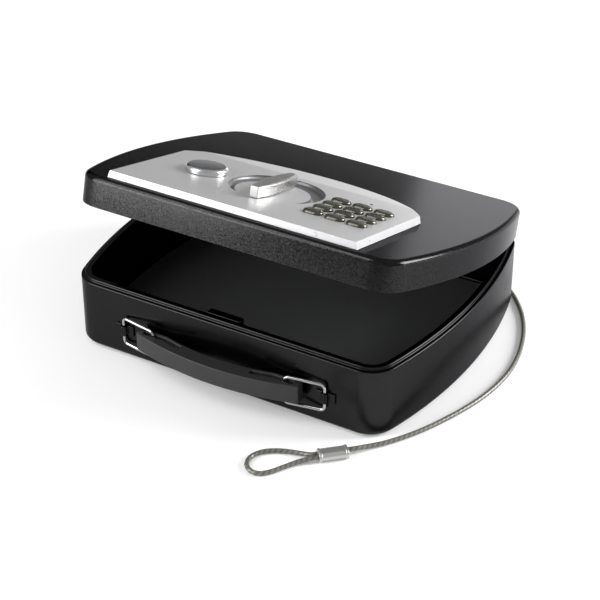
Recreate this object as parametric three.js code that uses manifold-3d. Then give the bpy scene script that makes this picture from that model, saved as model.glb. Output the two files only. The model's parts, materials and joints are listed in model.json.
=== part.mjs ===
// Portable car safe: a flat steel box with a hinged lid, a keypad lock and a tether cable.
// Millimetres, +Z up. Front is -Y, right is +X. The lid is modelled shut, then turned open.
import * as THREE from 'three';
import { mergeVertices } from 'three/addons/utils/BufferGeometryUtils.js';
import Module from 'manifold-3d';

const wasm = await Module();
wasm.setup();

// Case
const caseWidth = 290;
const caseDepth = 228;
const sideRadius = 378;
const cornerRadius = 22;
const rimHeight = 55.5;
const lidHeight = 23.5;
const sheet = 1.6;
const bottomRounding = 4.5;
const lidRounding = 4;
const rimStep = 3;
const rimRise = 2.3;
const rimWidth = 4.8;
const rimDepth = 4.8;
const linerThickness = 2;
const footHeight = 1.5;
const footRadius = 8;
const footInsetX = 33;
const footInsetY = 24;
const lidAngle = THREE.MathUtils.degToRad(15.2);

// Clearances
const fit = 0.3;
const slack = 0.4;

// Hinge
const hingeLength = 180;
const hingeStandOff = 3;
const knuckleRadius = 2.2;
const knuckleCount = 9;
const pinRadius = 1;
const leafThickness = 1;
const leafHeight = 14;
const rivetRadius = 1.5;
const rivetCount = 4;
const rivetPlace = 0.6;
const through = 1;

// Control panel on the lid
const panelX = -3.75;
const panelWidth = 205.5;
const panelFront = 5.5;
const panelSide = 98.5;
const panelBow = 46;
const panelHeight = 5.6;
const panelFlat = 110;
const panelTail = 1.2;
const panelSkin = 2;
const pegRadius = 2.5;
const pegHeadThickness = 2;
const pegFront = 9;
const pegBack = 8;

// Keypad
const keyColumns = 3;
const keyRows = 4;
const keyPitchX = 17.4;
const keyPitchY = 13.9;
const keyLength = 15.5;
const keyWidth = 10;
const keyRise = 2.5;
const keyTravel = 0.8;
const keyFlange = 0.7;
const keypadX = 61.2;
const keypadFromFront = 62.8;
const matThickness = 1;
const ribbonWidth = 12;

// Latch lever and finger groove
const leverX = -2.5;
const leverFromFront = 65;
const leverLength = 57;
const leverWidth = 6.6;
const leverBelly = 13.2;
const leverHeight = 8.6;
const leverBevel = 0.9;
const shaftRadius = 4;
const collar = 3;
const grooveAside = -1.1;
const grooveBehind = 7.4;
const grooveRadius = 35.7;
const islandAside = 1.4;
const islandBehind = -3.3;
const islandRadius = 27.8;
const grooveDepth = 3.2;

// Latch
const boltTravel = 4.8;
const boltWidth = 24;
const boltThickness = 3;
const boltLength = 47.5;
const boltClear = 1.6;
const boltPinRadius = 2;
const camStartRadius = 10;
const camThickness = 2.6;
const camRadius = 22;
const plungerRadius = 2.5;
const plungerTravel = 4;
const plungerClear = 0.6;
const plungerDepth = 20;
const solenoidGap = 10;
const solenoidLength = 28;
const solenoidWidth = 16;
const solenoidBore = 22;
const guideWall = 4;
const guideLength = 12;
const guideRoof = 3.2;
const strikeWall = 1.2;
const strikeDepth = 5;
const strikeClear = 0.6;
const strikeDrop = 1.2;

// Lock cover under the lid
const coverX = 0;
const coverWidth = 176;
const coverFront = 17;
const coverMargin = 1.6;
const coverDrop = 4.3;
const coverCorner = 8;
const coverWall = 1.6;
const screwRadius = 2.5;
const screwInset = 9;

// Key lock under its round cap
const capX = -61.5;
const capFromFront = 67.5;
const capRadius = 16;
const capHeight = 5.2;
const spigotRadius = 10;
const lockRadius = 9.5;
const lockLength = 20;
const lockDrop = 2.3;
const nutThickness = 3;
const plugRadius = 6;
const keySlotLength = 8;
const keySlotWidth = 1.8;
const keySlotDepth = 8;
const tailThickness = 3;
const tailReach = 13;

// Battery and board
const cellRadius = 5.25;
const cellLength = 44.5;
const cellCount = 4;
const cellPitch = 10.8;
const batteryX = -50;
const batteryFromFront = 112;
const trayWall = 1.2;
const cellEndGap = 0.6;
const doorLap = 2.5;
const doorThickness = 1.6;
const doorRibWidth = 3;
const doorRibLength = 20;
const doorRibHeight = 1;
const doorRibInset = 5;
const boardGap = 4;
const boardWidth = 66;
const boardDepth = 62;
const boardThickness = 1.6;

// Handle
const handleX = 2;
const handleZ = 25.75;
const ringPivotX = 85.5;
const ringReach = 30.5;
const ringHeight = 21.5;
const ringWire = 1.25;
const ringCorner = 3.5;
const ringStandOff = 2;
const ringAngle = THREE.MathUtils.degToRad(10);
const strapLength = 137;
const strapHeight = 14.4;
const strapZ = 26.6;
const strapFront = 21.2;
const strapBack = 9.4;
const strapBackEnd = 3;
const strapFrontBow = 0.0023;
const strapBackBow = 0.0031;
const strapBackWall = 2.5;
const slotWidth = 3.6;
const slotInner = 30;
const slotOuter = 63.4;
const stapleHeight = 8;
const stapleTab = 5;
const stapleThickness = 1;

// Tether cable
const cableRadius = 1.75;
const exitX = 62;
const exitZ = 30;
const bushRadius = 4.4;
const bushFlange = 6;
const bushOutside = 3;
const stopRadius = 4;
const stopLength = 8;
const coilX = 36;
const coilY = 165;
const coilRadius = 26;
const coilTurns = 5.5;
const coilPitch = 4;
const ferruleLength = 21;
const ferruleWidth = 11.6;
const ferruleHeight = 7.6;
const strandGap = 0.4;

// Heights and planes that follow from the sizes above
const lidTop = rimHeight + lidHeight;
const lidInside = lidTop - sheet;
const seam = rimHeight + fit;
const backWall = caseDepth / 2;
const frontWall = -caseDepth / 2;
const hingeY = backWall + hingeStandOff;
const floorTop = footHeight + sheet;
const rimInner = rimStep + rimWidth;
const leverY = frontWall + leverFromFront;
const keypadY = frontWall + keypadFromFront;
const capY = frontWall + capFromFront;
const batteryY = frontWall + batteryFromFront;
const coverFloor = rimHeight - coverDrop;
const coverInside = coverFloor + coverWall;
const boltBottom = coverInside + slack;
const boltTop = boltBottom + boltThickness;
const camBottom = boltTop + slack;
const camTop = camBottom + camThickness;
const panelUnder = lidTop + fit;
const panelTop = lidTop + panelHeight;
const ringAxisY = frontWall - ringStandOff;
const strikeNear = frontWall + rimInner + fit;
const strikeFar = strikeNear + strikeWall + strikeDepth;

const colours = {
  black: { color: 0x17181a, roughness: 0.45, metalness: 0.2 },
  silver: { color: 0xb9babd, roughness: 0.35, metalness: 0.9 },
  nickel: { color: 0xd2d0ca, roughness: 0.3, metalness: 0.9 },
  chrome: { color: 0xdfe2e4, roughness: 0.1, metalness: 1 },
  zinc: { color: 0xa7a9a8, roughness: 0.45, metalness: 0.8 },
  key: { color: 0x8c897c, roughness: 0.35, metalness: 0.6 },
  rubber: { color: 0x202123, roughness: 0.85, metalness: 0 },
  plastic: { color: 0x1d1e20, roughness: 0.55, metalness: 0 },
  foam: { color: 0x26272a, roughness: 0.95, metalness: 0 },
  board: { color: 0x1f5a35, roughness: 0.5, metalness: 0 },
  cell: { color: 0x9a9ca0, roughness: 0.4, metalness: 0.5 },
  cable: { color: 0xa59f93, roughness: 0.4, metalness: 0.5 },
  ferrule: { color: 0xbfc1c2, roughness: 0.35, metalness: 0.9 },
};

const safe = new THREE.Group();
const lid = new THREE.Group();
lid.position.set(0, hingeY, rimHeight);
lid.rotation.x = -lidAngle;
safe.add(lid);

// Lid pieces are drawn in the shut position, so they are moved back to the hinge line first.
function addPiece(name, geometry, colour, parent = safe) {
  const mesh = new THREE.Mesh(geometry, new THREE.MeshStandardMaterial(colours[colour]));
  mesh.name = name;
  if (parent === lid) mesh.position.set(0, -hingeY, -rimHeight);
  parent.add(mesh);
  return mesh;
}

// Solid modelling helpers
function toSolid(geometry) {
  const bare = geometry.clone();
  bare.deleteAttribute('normal');
  bare.deleteAttribute('uv');
  const merged = mergeVertices(bare, 1e-4);
  const mesh = new wasm.Mesh({
    numProp: 3,
    vertProperties: new Float32Array(merged.attributes.position.array),
    triVerts: new Uint32Array(merged.index.array),
  });
  return new wasm.Manifold(mesh);
}

function toGeometry(solid) {
  const mesh = solid.getMesh();
  const geometry = new THREE.BufferGeometry();
  geometry.setAttribute('position', new THREE.BufferAttribute(mesh.vertProperties, 3));
  geometry.setIndex(new THREE.BufferAttribute(mesh.triVerts, 1));
  return geometry;
}

function cut(geometry, ...tools) {
  return toGeometry(tools.reduce((body, tool) => body.subtract(toSolid(tool)), toSolid(geometry)));
}

function join(...pieces) {
  return toGeometry(pieces.map(toSolid).reduce((body, piece) => body.add(piece)));
}

// A closed solid over rings of points that run anticlockwise about the way they advance.
function skin(rings) {
  const count = rings[0].length;
  const index = [];
  for (let r = 0; r + 1 < rings.length; r += 1) {
    for (let i = 0; i < count; i += 1) {
      const a = r * count + i;
      const b = r * count + (i + 1) % count;
      index.push(a, b, b + count, a, b + count, a + count);
    }
  }
  const last = (rings.length - 1) * count;
  for (let i = 1; i + 1 < count; i += 1) {
    index.push(0, i + 1, i);
    index.push(last, last + i, last + i + 1);
  }
  const geometry = new THREE.BufferGeometry();
  const points = rings.flat().flatMap((p) => [p.x, p.y, p.z]);
  geometry.setAttribute('position', new THREE.Float32BufferAttribute(points, 3));
  geometry.setIndex(index);
  return geometry;
}

// Rings of one outline at several insets and heights.
function stack(outline, profile) {
  return skin(profile.map(([inset, z]) => outline(inset).map((p) => new THREE.Vector3(p.x, p.y, z))));
}

function arc(x, y, radius, from, to, steps) {
  return new THREE.ArcCurve(x, y, radius, from, to, to < from).getPoints(steps);
}

function box(x0, x1, y0, y1, z0, z1) {
  const geometry = new THREE.BoxGeometry(x1 - x0, y1 - y0, z1 - z0);
  return geometry.translate((x0 + x1) / 2, (y0 + y1) / 2, (z0 + z1) / 2);
}

function upright(x, y, radius, z0, z1, sides = 16) {
  const geometry = new THREE.CylinderGeometry(radius, radius, z1 - z0, sides);
  return geometry.rotateX(Math.PI / 2).translate(x, y, (z0 + z1) / 2);
}

function alongX(y, z, radius, x0, x1, sides = 10) {
  const geometry = new THREE.CylinderGeometry(radius, radius, x1 - x0, sides);
  return geometry.rotateZ(Math.PI / 2).translate((x0 + x1) / 2, y, z);
}

function alongY(x, z, radius, y0, y1, sides = 12) {
  return new THREE.CylinderGeometry(radius, radius, y1 - y0, sides).translate(x, (y0 + y1) / 2, z);
}

// A turned piece: [radius, height] pairs about an upright axis.
function turned(x, y, profile, sides = 24) {
  const points = profile.map(([radius, z]) => new THREE.Vector2(radius, z));
  return new THREE.LatheGeometry(points, sides).rotateX(Math.PI / 2).translate(x, y, 0);
}

// The same about an axis along Y.
function turnedAlongY(x, z, profile, sides = 12) {
  const points = profile.map(([radius, y]) => new THREE.Vector2(radius, y));
  return new THREE.LatheGeometry(points, sides).translate(x, 0, z);
}

function extrude(shape, z0, z1, curveSegments = 12) {
  const settings = { depth: z1 - z0, bevelEnabled: false, curveSegments };
  return new THREE.ExtrudeGeometry(shape, settings).translate(0, 0, z0);
}

// Plan of the case: straight front and back, bowed sides, round corners.
function casePlan(inset) {
  const sideCentre = sideRadius - caseWidth / 2;
  const cornerY = caseDepth / 2 - cornerRadius;
  const cornerX = Math.sqrt((sideRadius - cornerRadius) ** 2 - cornerY ** 2) - sideCentre;
  const swing = Math.atan2(cornerY, cornerX + sideCentre);
  const corner = cornerRadius - inset;
  const side = sideRadius - inset;
  const quarter = Math.PI / 2;
  return [
    ...arc(cornerX, -cornerY, corner, -quarter, -swing, 6),
    ...arc(-sideCentre, 0, side, -swing, swing, 8).slice(1, -1),
    ...arc(cornerX, cornerY, corner, swing, quarter, 6),
    ...arc(-cornerX, cornerY, corner, quarter, Math.PI - swing, 6),
    ...arc(sideCentre, 0, side, Math.PI - swing, Math.PI + swing, 8).slice(1, -1),
    ...arc(-cornerX, -cornerY, corner, Math.PI + swing, 3 * quarter, 6),
  ];
}

function roundedRectangle(x0, x1, y0, y1, radius, inset) {
  const r = radius - inset;
  const quarter = Math.PI / 2;
  return [
    ...arc(x1 - radius, y0 + radius, r, -quarter, 0, 4),
    ...arc(x1 - radius, y1 - radius, r, 0, quarter, 4),
    ...arc(x0 + radius, y1 - radius, r, quarter, Math.PI, 4),
    ...arc(x0 + radius, y0 + radius, r, Math.PI, 3 * quarter, 4),
  ];
}

function stadium(x, y, length, width, inset) {
  const half = (length - width) / 2;
  const radius = width / 2 - inset;
  const quarter = Math.PI / 2;
  return [
    ...arc(x + half, y, radius, -quarter, quarter, 5),
    ...arc(x - half, y, radius, quarter, 3 * quarter, 5),
  ];
}

// Base: a pressed steel tray with a stepped, rolled rim
const rivetSpacing = hingeLength / rivetCount;
const rivetPlaces = [...Array(rivetCount).keys()].map((i) => (i - (rivetCount - 1) / 2) * rivetSpacing);
const baseRivetZ = rimHeight - leafHeight * rivetPlace;
const lidRivetZ = rimHeight + leafHeight * rivetPlace;

function rivetHole(x, z) {
  return alongY(x, z, rivetRadius + fit, backWall - sheet - through, hingeY, 8);
}

const baseProfile = [
  [bottomRounding, footHeight],
  [bottomRounding * 0.29, footHeight + bottomRounding * 0.29],
  [0, footHeight + bottomRounding],
  [0, rimHeight - 0.5],
  [0.5, rimHeight],
  [rimStep - 0.4, rimHeight],
  [rimStep, rimHeight + rimRise - 0.5],
  [rimStep + 0.5, rimHeight + rimRise],
  [rimInner - 0.5, rimHeight + rimRise],
  [rimInner, rimHeight + rimRise - 0.5],
  [rimInner, rimHeight + rimRise - rimDepth],
  [sheet, rimHeight + rimRise - rimDepth - 1.5],
  [sheet, floorTop + bottomRounding - sheet],
  [bottomRounding, floorTop],
];
addPiece('base_shell', cut(
  stack(casePlan, baseProfile),
  ...rivetPlaces.map((x) => rivetHole(x, baseRivetZ)),
  alongY(exitX, exitZ, bushRadius + fit, backWall - sheet - through, hingeY, 16),
), 'black');

// Strike: a folded steel box welded to the inner face of the front rim, open to the bolt
const strikeHalf = boltWidth / 2 + strikeClear;
addPiece('strike_box', cut(
  box(leverX - strikeHalf - strikeWall, leverX + strikeHalf + strikeWall, strikeNear, strikeFar,
    boltBottom - strikeDrop - strikeWall, boltTop + slack + strikeWall),
  box(leverX - strikeHalf, leverX + strikeHalf, strikeNear + strikeWall, strikeFar + through,
    boltBottom - strikeDrop, boltTop + slack),
), 'black');

const linerInset = bottomRounding + 1;
addPiece('floor_liner', stack(casePlan, [
  [linerInset, floorTop + fit],
  [linerInset, floorTop + fit + linerThickness],
]), 'foam');

const footX = caseWidth / 2 - footInsetX;
const footY = caseDepth / 2 - footInsetY;
const feet = [[-1, -1], [1, -1], [1, 1], [-1, 1]];
feet.forEach(([sx, sy], i) => {
  addPiece(`foot_${i + 1}`, upright(sx * footX, sy * footY, footRadius, 0, footHeight, 20), 'rubber');
});

// Hinge: a long rolled hinge riveted to the outside of the back walls
const knuckleLength = hingeLength / knuckleCount;
const leafNear = backWall + fit;
const leafFar = leafNear + leafThickness;

function hingeLeaf(side) {
  const pieces = [];
  const bores = [];
  for (let i = side > 0 ? 1 : 0; i < knuckleCount; i += 2) {
    const x0 = -hingeLength / 2 + i * knuckleLength + fit / 2;
    const x1 = x0 + knuckleLength - fit;
    pieces.push(alongX(hingeY, rimHeight, knuckleRadius, x0, x1));
    const web = [rimHeight, rimHeight + side * (knuckleRadius + 1)].sort((a, b) => a - b);
    pieces.push(box(x0, x1, leafNear, leafFar, web[0], web[1]));
  }
  const near = rimHeight + side * (knuckleRadius + fit);
  const far = rimHeight + side * leafHeight;
  const heights = [near, far].sort((a, b) => a - b);
  pieces.push(box(-hingeLength / 2, hingeLength / 2, leafNear, leafFar, heights[0], heights[1]));
  bores.push(alongX(hingeY, rimHeight, pinRadius + fit, -hingeLength, hingeLength, 10));
  const rivetZ = side > 0 ? lidRivetZ : baseRivetZ;
  pieces.push(...rivetPlaces.map((x) => rivet(x, rivetZ)));
  return cut(join(...pieces), ...bores);
}

// A rivet is closed tight on its leaf, so it is part of it: a head outside and a tail inside.
function rivet(x, z) {
  const inner = backWall - sheet;
  return turnedAlongY(x, z, [
    [0, inner - fit - 1], [rivetRadius * 1.8, inner - fit - 1], [rivetRadius * 1.8, inner - fit],
    [rivetRadius, inner - fit], [rivetRadius, leafNear + leafThickness / 2],
    [rivetRadius * 2, leafNear + leafThickness / 2], [rivetRadius * 2, leafFar],
    [rivetRadius * 1.4, leafFar + 0.7], [0, leafFar + 0.9],
  ], 8);
}

addPiece('hinge_base_leaf', hingeLeaf(-1), 'black');
addPiece('hinge_lid_leaf', hingeLeaf(1), 'black', lid);
const pinOverhang = 1;
addPiece('hinge_pin', alongX(hingeY, rimHeight, pinRadius, -hingeLength / 2 - pinOverhang,
  hingeLength / 2 + pinOverhang, 10), 'zinc');

// Lid: a pressed steel cover with four welded studs for the lock cover
const coverLeft = coverX - coverWidth / 2;
const coverRight = coverX + coverWidth / 2;
const coverNear = frontWall + coverFront;
const trayLeft = batteryX - cellLength / 2 - trayWall - cellEndGap;
const trayRight = batteryX + cellLength / 2 + trayWall + cellEndGap;
const trayNear = batteryY - (cellCount * cellPitch) / 2 - trayWall;
const trayFar = batteryY + (cellCount * cellPitch) / 2 + trayWall;
const coverFar = trayFar + coverMargin + coverWall;
const screwPlaces = [
  [coverLeft + screwInset, coverNear + screwInset], [coverRight - screwInset, coverNear + screwInset],
  [coverRight - screwInset, coverFar - screwInset], [coverLeft + screwInset, coverFar - screwInset],
];
const panelLeft = panelX - panelWidth / 2;
const panelRight = panelX + panelWidth / 2;
const panelNear = frontWall + panelFront;
const panelCorner = panelNear + panelSide;
const pegGap = pegRadius * 1.7 + 1.2;
const pegPlaces = [
  [coverLeft - pegGap, panelNear + pegFront], [coverRight + pegGap, panelNear + pegFront],
  [coverRight + pegGap, panelCorner - pegBack], [coverLeft - pegGap, panelCorner - pegBack],
];
const ribbonX = keypadX;
const ribbonY = keypadY + (keyRows / 2) * keyPitchY + 4;
const studBottom = coverInside + lidHeight / 2;

const lidProfile = [
  [lidRounding, lidInside],
  [sheet + (lidRounding - sheet) * 0.3, lidInside - (lidRounding - sheet) * 0.3],
  [sheet, lidInside - (lidRounding - sheet)],
  [sheet, seam],
  [0.5, seam],
  [0, seam + 0.5],
  [0, lidTop - lidRounding],
  [lidRounding * 0.29, lidTop - lidRounding * 0.29],
  [lidRounding, lidTop],
];
addPiece('lid_shell', cut(
  join(
    stack(casePlan, lidProfile),
    ...screwPlaces.map(([x, y]) => upright(x, y, screwRadius, studBottom, lidInside + sheet / 2, 10)),
  ),
  upright(leverX, leverY, shaftRadius + fit, lidInside - 1, lidTop + 1, 16),
  upright(capX, capY, lockRadius + fit, lidInside - 1, lidTop + 1, 24),
  ...pegPlaces.map(([x, y]) => upright(x, y, pegRadius + fit, lidInside - 1, lidTop + 1, 10)),
  box(ribbonX - ribbonWidth / 2 - fit, ribbonX + ribbonWidth / 2 + fit, ribbonY - fit,
    ribbonY + matThickness + fit, lidInside - 1, lidTop + 1),
  ...rivetPlaces.map((x) => rivetHole(x, lidRivetZ)),
), 'black', lid);

// Control panel: a cast plate with a bowed back edge that slopes down to the lid
const bowRadius = ((panelWidth / 2) ** 2 + panelBow ** 2) / (2 * panelBow);
const bowSwing = Math.asin(panelWidth / 2 / bowRadius);
const bowY = panelCorner + panelBow - bowRadius;

function panelShape() {
  const shape = new THREE.Shape();
  shape.moveTo(panelLeft, panelNear);
  shape.lineTo(panelRight, panelNear);
  shape.lineTo(panelRight, panelCorner);
  shape.absarc(panelX, bowY, bowRadius, Math.PI / 2 - bowSwing, Math.PI / 2 + bowSwing, false);
  shape.closePath();
  return shape;
}

// The slope at the back, as a wedge lying along X
function panelSlope() {
  const start = panelNear + panelFlat;
  const end = panelCorner + panelBow;
  const fall = (panelHeight - panelTail) / (end - start);
  const wedge = new THREE.Shape();
  wedge.moveTo(start, panelTop);
  wedge.lineTo(end + 10, panelTop - fall * (end + 10 - start));
  wedge.lineTo(end + 10, panelTop + 5);
  wedge.lineTo(start, panelTop + 5);
  const length = panelWidth + 20;
  const solid = new THREE.ExtrudeGeometry(wedge, { depth: length, bevelEnabled: false });
  solid.rotateY(Math.PI / 2).rotateX(Math.PI / 2);
  return solid.translate(panelX - length / 2, 0, 0);
}

// Crescent finger groove: a disc less the island that the lever stands on
function fingerGroove() {
  const floor = panelTop - grooveDepth;
  const top = panelTop + through;
  return cut(
    upright(leverX + grooveAside, leverY + grooveBehind, grooveRadius, floor, top, 36),
    upright(leverX + islandAside, leverY + islandBehind, islandRadius, floor - through, top + through, 36),
  );
}

const keyPlaces = [];
for (let row = 0; row < keyRows; row += 1) {
  for (let column = 0; column < keyColumns; column += 1) {
    keyPlaces.push([
      keypadX + (column - (keyColumns - 1) / 2) * keyPitchX,
      keypadY + ((keyRows - 1) / 2 - row) * keyPitchY,
    ]);
  }
}

function keyHole([x, y]) {
  return stack((inset) => stadium(x, y, keyLength + 2 * fit, keyWidth + 2 * fit, inset),
    [[0, panelUnder - 1], [0, panelTop + 1]]);
}

const padHalfX = (keyColumns * keyPitchX) / 2 + keyFlange;
const padHalfY = (keyRows * keyPitchY) / 2 + keyFlange;
// Four pegs pass through the lid, and their ends are spread under it to hold the plate.
const pegHead = lidInside - fit - pegHeadThickness;
const panelPlate = join(
  extrude(panelShape(), panelUnder, panelTop, 18),
  ...pegPlaces.map(([x, y]) => turned(x, y, [
    [0, pegHead], [pegRadius * 1.3, pegHead], [pegRadius * 1.7, lidInside - fit],
    [pegRadius, lidInside - fit], [pegRadius, panelUnder + 1], [0, panelUnder + 1],
  ], 10)),
);
addPiece('control_panel', cut(
  panelPlate,
  panelSlope(),
  fingerGroove(),
  upright(leverX, leverY, shaftRadius + fit, panelUnder - 1, panelTop + 1, 16),
  upright(capX, capY, spigotRadius + fit, panelUnder - 1, panelTop + 1, 24),
  box(keypadX - padHalfX, keypadX + padHalfX, keypadY - padHalfY, ribbonY + matThickness + slack,
    panelUnder - 1, panelTop - panelSkin),
  ...keyPlaces.map(keyHole),
), 'silver', lid);

// Keypad: a rubber switch mat with its ribbon, and twelve sprung keys
const matInset = fit;
const matTop = panelUnder + matThickness;
addPiece('keypad_mat', join(
  box(keypadX - padHalfX + matInset, keypadX + padHalfX - matInset, keypadY - padHalfY + matInset,
    ribbonY + matThickness, panelUnder, matTop),
  box(ribbonX - ribbonWidth / 2, ribbonX + ribbonWidth / 2, ribbonY, ribbonY + matThickness,
    lidInside, matTop),
), 'rubber', lid);

const keyBottom = matTop + keyTravel + fit;
const keyStep = panelTop - panelSkin - fit;
const keyNames = ['1', '2', '3', '4', '5', '6', '7', '8', '9', 'clear', '0', 'enter'];
keyPlaces.forEach(([x, y], i) => {
  addPiece(`key_${keyNames[i]}`, stack((inset) => stadium(x, y, keyLength, keyWidth, inset), [
    [-keyFlange, keyBottom], [-keyFlange, keyStep], [0, keyStep], [0, panelTop],
    [0.8, panelTop + keyRise * 0.6], [2.4, panelTop + keyRise],
  ]), 'key', lid);
});

// Latch lever: a bar with bowed sides and a bevelled top
function leverPlan(inset) {
  const steps = 8;
  const half = leverLength / 2 - inset;
  const bow = (leverBelly - leverWidth) / 2;
  const right = [...Array(steps + 1).keys()].map((i) => {
    const t = (2 * i) / steps - 1;
    return new THREE.Vector2(leverWidth / 2 - inset + bow * (1 - t * t), t * half);
  });
  const left = right.map((p) => new THREE.Vector2(-p.x, -p.y));
  return [...right, ...left].map((p) => new THREE.Vector2(leverX + p.x, leverY + p.y));
}

const leverFoot = panelTop + slack;
addPiece('latch_lever', stack(leverPlan, [
  [0, leverFoot], [0, leverFoot + leverHeight - leverBevel], [leverBevel, leverFoot + leverHeight],
]), 'nickel', lid);
addPiece('latch_shaft', turned(leverX, leverY, [
  [0, camBottom], [shaftRadius, camBottom], [shaftRadius, camTop + fit],
  [shaftRadius + collar, camTop + fit], [shaftRadius + collar, camTop + fit + collar],
  [shaftRadius, camTop + fit + collar], [shaftRadius, leverFoot - fit],
  [0, leverFoot - fit],
], 16), 'zinc', lid);

// Cam: a plate with a spiral slot that drives the bolt pin at a constant rate
const camRate = boltTravel / (Math.PI / 2);

function camShape() {
  const shape = new THREE.Shape();
  shape.absarc(0, 0, camRadius, 0, 2 * Math.PI, false);
  const slot = new THREE.Path();
  const halfSlot = boltPinRadius + fit;
  const margin = 0.22;
  const inner = [];
  const outer = [];
  const steps = 12;
  for (let i = 0; i <= steps; i += 1) {
    const turn = -margin + (i / steps) * (Math.PI / 2 + 2 * margin);
    const angle = -Math.PI / 2 - turn;
    const radius = camStartRadius + camRate * turn;
    outer.push([(radius + halfSlot) * Math.cos(angle), (radius + halfSlot) * Math.sin(angle)]);
    inner.push([(radius - halfSlot) * Math.cos(angle), (radius - halfSlot) * Math.sin(angle)]);
  }
  const points = [...outer, ...inner.reverse()].map(([x, y]) => new THREE.Vector2(x, y));
  slot.setFromPoints(points);
  shape.holes.push(slot);
  return shape;
}

// Notches in the cam's edge take the solenoid plunger with the lever open and shut.
function camNotch(angle) {
  const depth = plungerTravel + 1;
  const notch = box(camRadius - depth, camRadius + 1, -plungerRadius - slack, plungerRadius + slack, 0, 10);
  return notch.rotateZ(angle).translate(leverX, leverY, camBottom - 2);
}

addPiece('latch_cam', cut(
  extrude(camShape(), camBottom, camTop, 18).translate(leverX, leverY, 0),
  upright(leverX, leverY, shaftRadius + fit, camBottom - 1, camTop + 1, 16),
  camNotch(0),
  camNotch(-Math.PI / 2),
), 'zinc', lid);

// Bolt: a flat steel bar with the cam pin, guided behind the cover's front wall
const boltNear = strikeFar + boltClear;
const boltFar = boltNear + boltLength;
addPiece('latch_bolt', join(
  box(leverX - boltWidth / 2, leverX + boltWidth / 2, boltNear, boltFar, boltBottom, boltTop),
  upright(leverX, leverY - camStartRadius, boltPinRadius, boltTop - 1, camTop - slack, 12),
), 'zinc', lid);

const guideNear = coverNear + coverWall + fit;
addPiece('bolt_guide', cut(
  box(leverX - boltWidth / 2 - guideWall, leverX + boltWidth / 2 + guideWall, guideNear,
    guideNear + guideLength, coverInside + fit, boltTop + guideRoof),
  box(leverX - boltWidth / 2 - fit, leverX + boltWidth / 2 + fit, guideNear - through,
    guideNear + guideLength + through, coverInside - through, boltTop + fit),
), 'plastic', lid);

// Solenoid: its plunger blocks the cam until the code is right
const plungerZ = (camBottom + camTop) / 2;
const solenoidLeft = leverX + camRadius + solenoidGap;
const solenoidHalf = plungerZ - coverInside - fit;
const plungerTip = leverX + camRadius + plungerClear;
addPiece('solenoid_body', cut(
  box(solenoidLeft, solenoidLeft + solenoidLength, leverY - solenoidWidth / 2, leverY + solenoidWidth / 2,
    plungerZ - solenoidHalf, plungerZ + solenoidHalf),
  alongX(leverY, plungerZ, plungerRadius + fit, solenoidLeft - through, solenoidLeft + solenoidBore, 12),
), 'zinc', lid);
addPiece('solenoid_plunger', alongX(leverY, plungerZ, plungerRadius, plungerTip,
  solenoidLeft + plungerDepth, 12), 'nickel', lid);

// Lock cover: a moulded tray under the lid that hides the lock and the battery
function coverPlan(inset) {
  return roundedRectangle(coverLeft, coverRight, coverNear, coverFar, coverCorner, inset);
}

const coverTray = stack(coverPlan, [
  [1.5, coverFloor], [0, coverFloor + 1.5], [0, lidInside - fit],
  [coverWall, lidInside - fit], [coverWall, coverInside],
]);
addPiece('lock_cover', cut(
  join(coverTray, ...screwPlaces.map(([x, y]) => upright(x, y, screwRadius + 2, coverInside - 0.5,
    lidInside - fit, 12))),
  ...screwPlaces.map(([x, y]) => upright(x, y, screwRadius + fit, coverFloor - 1, lidInside + 1, 10)),
  box(leverX - boltWidth / 2 - fit, leverX + boltWidth / 2 + fit, coverNear - 1,
    coverNear + coverWall + 1, boltBottom - fit, boltTop + fit),
  box(trayLeft + doorLap, trayRight - doorLap, trayNear + doorLap, trayFar - doorLap,
    coverFloor - 1, coverInside + 1),
), 'plastic', lid);

const screwHead = coverFloor - fit;
screwPlaces.forEach(([x, y], i) => {
  addPiece(`cover_screw_${i + 1}`, turned(x, y, [
    [0, screwHead - 1.2], [screwRadius + 1.2, screwHead - 1.2], [screwRadius + 1.4, screwHead],
    [screwRadius, screwHead], [screwRadius, studBottom - fit], [0, studBottom - fit],
  ], 10), 'zinc', lid);
});

// Battery: four cells side by side in a tray over a sliding door
const cellZ = coverInside + fit + trayWall + fit + cellRadius;
const trayTop = cellZ + cellRadius * 0.4;
const cellPlaces = [...Array(cellCount).keys()].map((i) => batteryY + (i - (cellCount - 1) / 2) * cellPitch);
addPiece('battery_tray', cut(
  box(trayLeft, trayRight, trayNear, trayFar, coverInside + fit, trayTop),
  box(trayLeft + trayWall, trayRight - trayWall, trayNear + trayWall, trayFar - trayWall,
    coverInside + fit + trayWall, trayTop + 1),
), 'plastic', lid);
cellPlaces.forEach((y, i) => {
  addPiece(`battery_cell_${i + 1}`, alongX(y, cellZ, cellRadius, batteryX - cellLength / 2,
    batteryX + cellLength / 2, 12), 'cell', lid);
});
const doorTop = coverFloor - fit;
addPiece('battery_door', join(
  box(trayLeft, trayRight, trayNear, trayFar, doorTop - doorThickness, doorTop),
  box(trayRight - doorRibInset - doorRibWidth, trayRight - doorRibInset, batteryY - doorRibLength / 2,
    batteryY + doorRibLength / 2, doorTop - doorThickness - doorRibHeight, doorTop - doorThickness / 2),
), 'plastic', lid);

// Circuit board: held to the underside of the lid, with its chips facing down
const boardTop = lidInside - fit;
const boardLeft = coverRight - coverWall - boardGap - boardWidth;
const boardNear = ribbonY - slack - boardDepth;
const boardBottom = boardTop - boardThickness;
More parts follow.
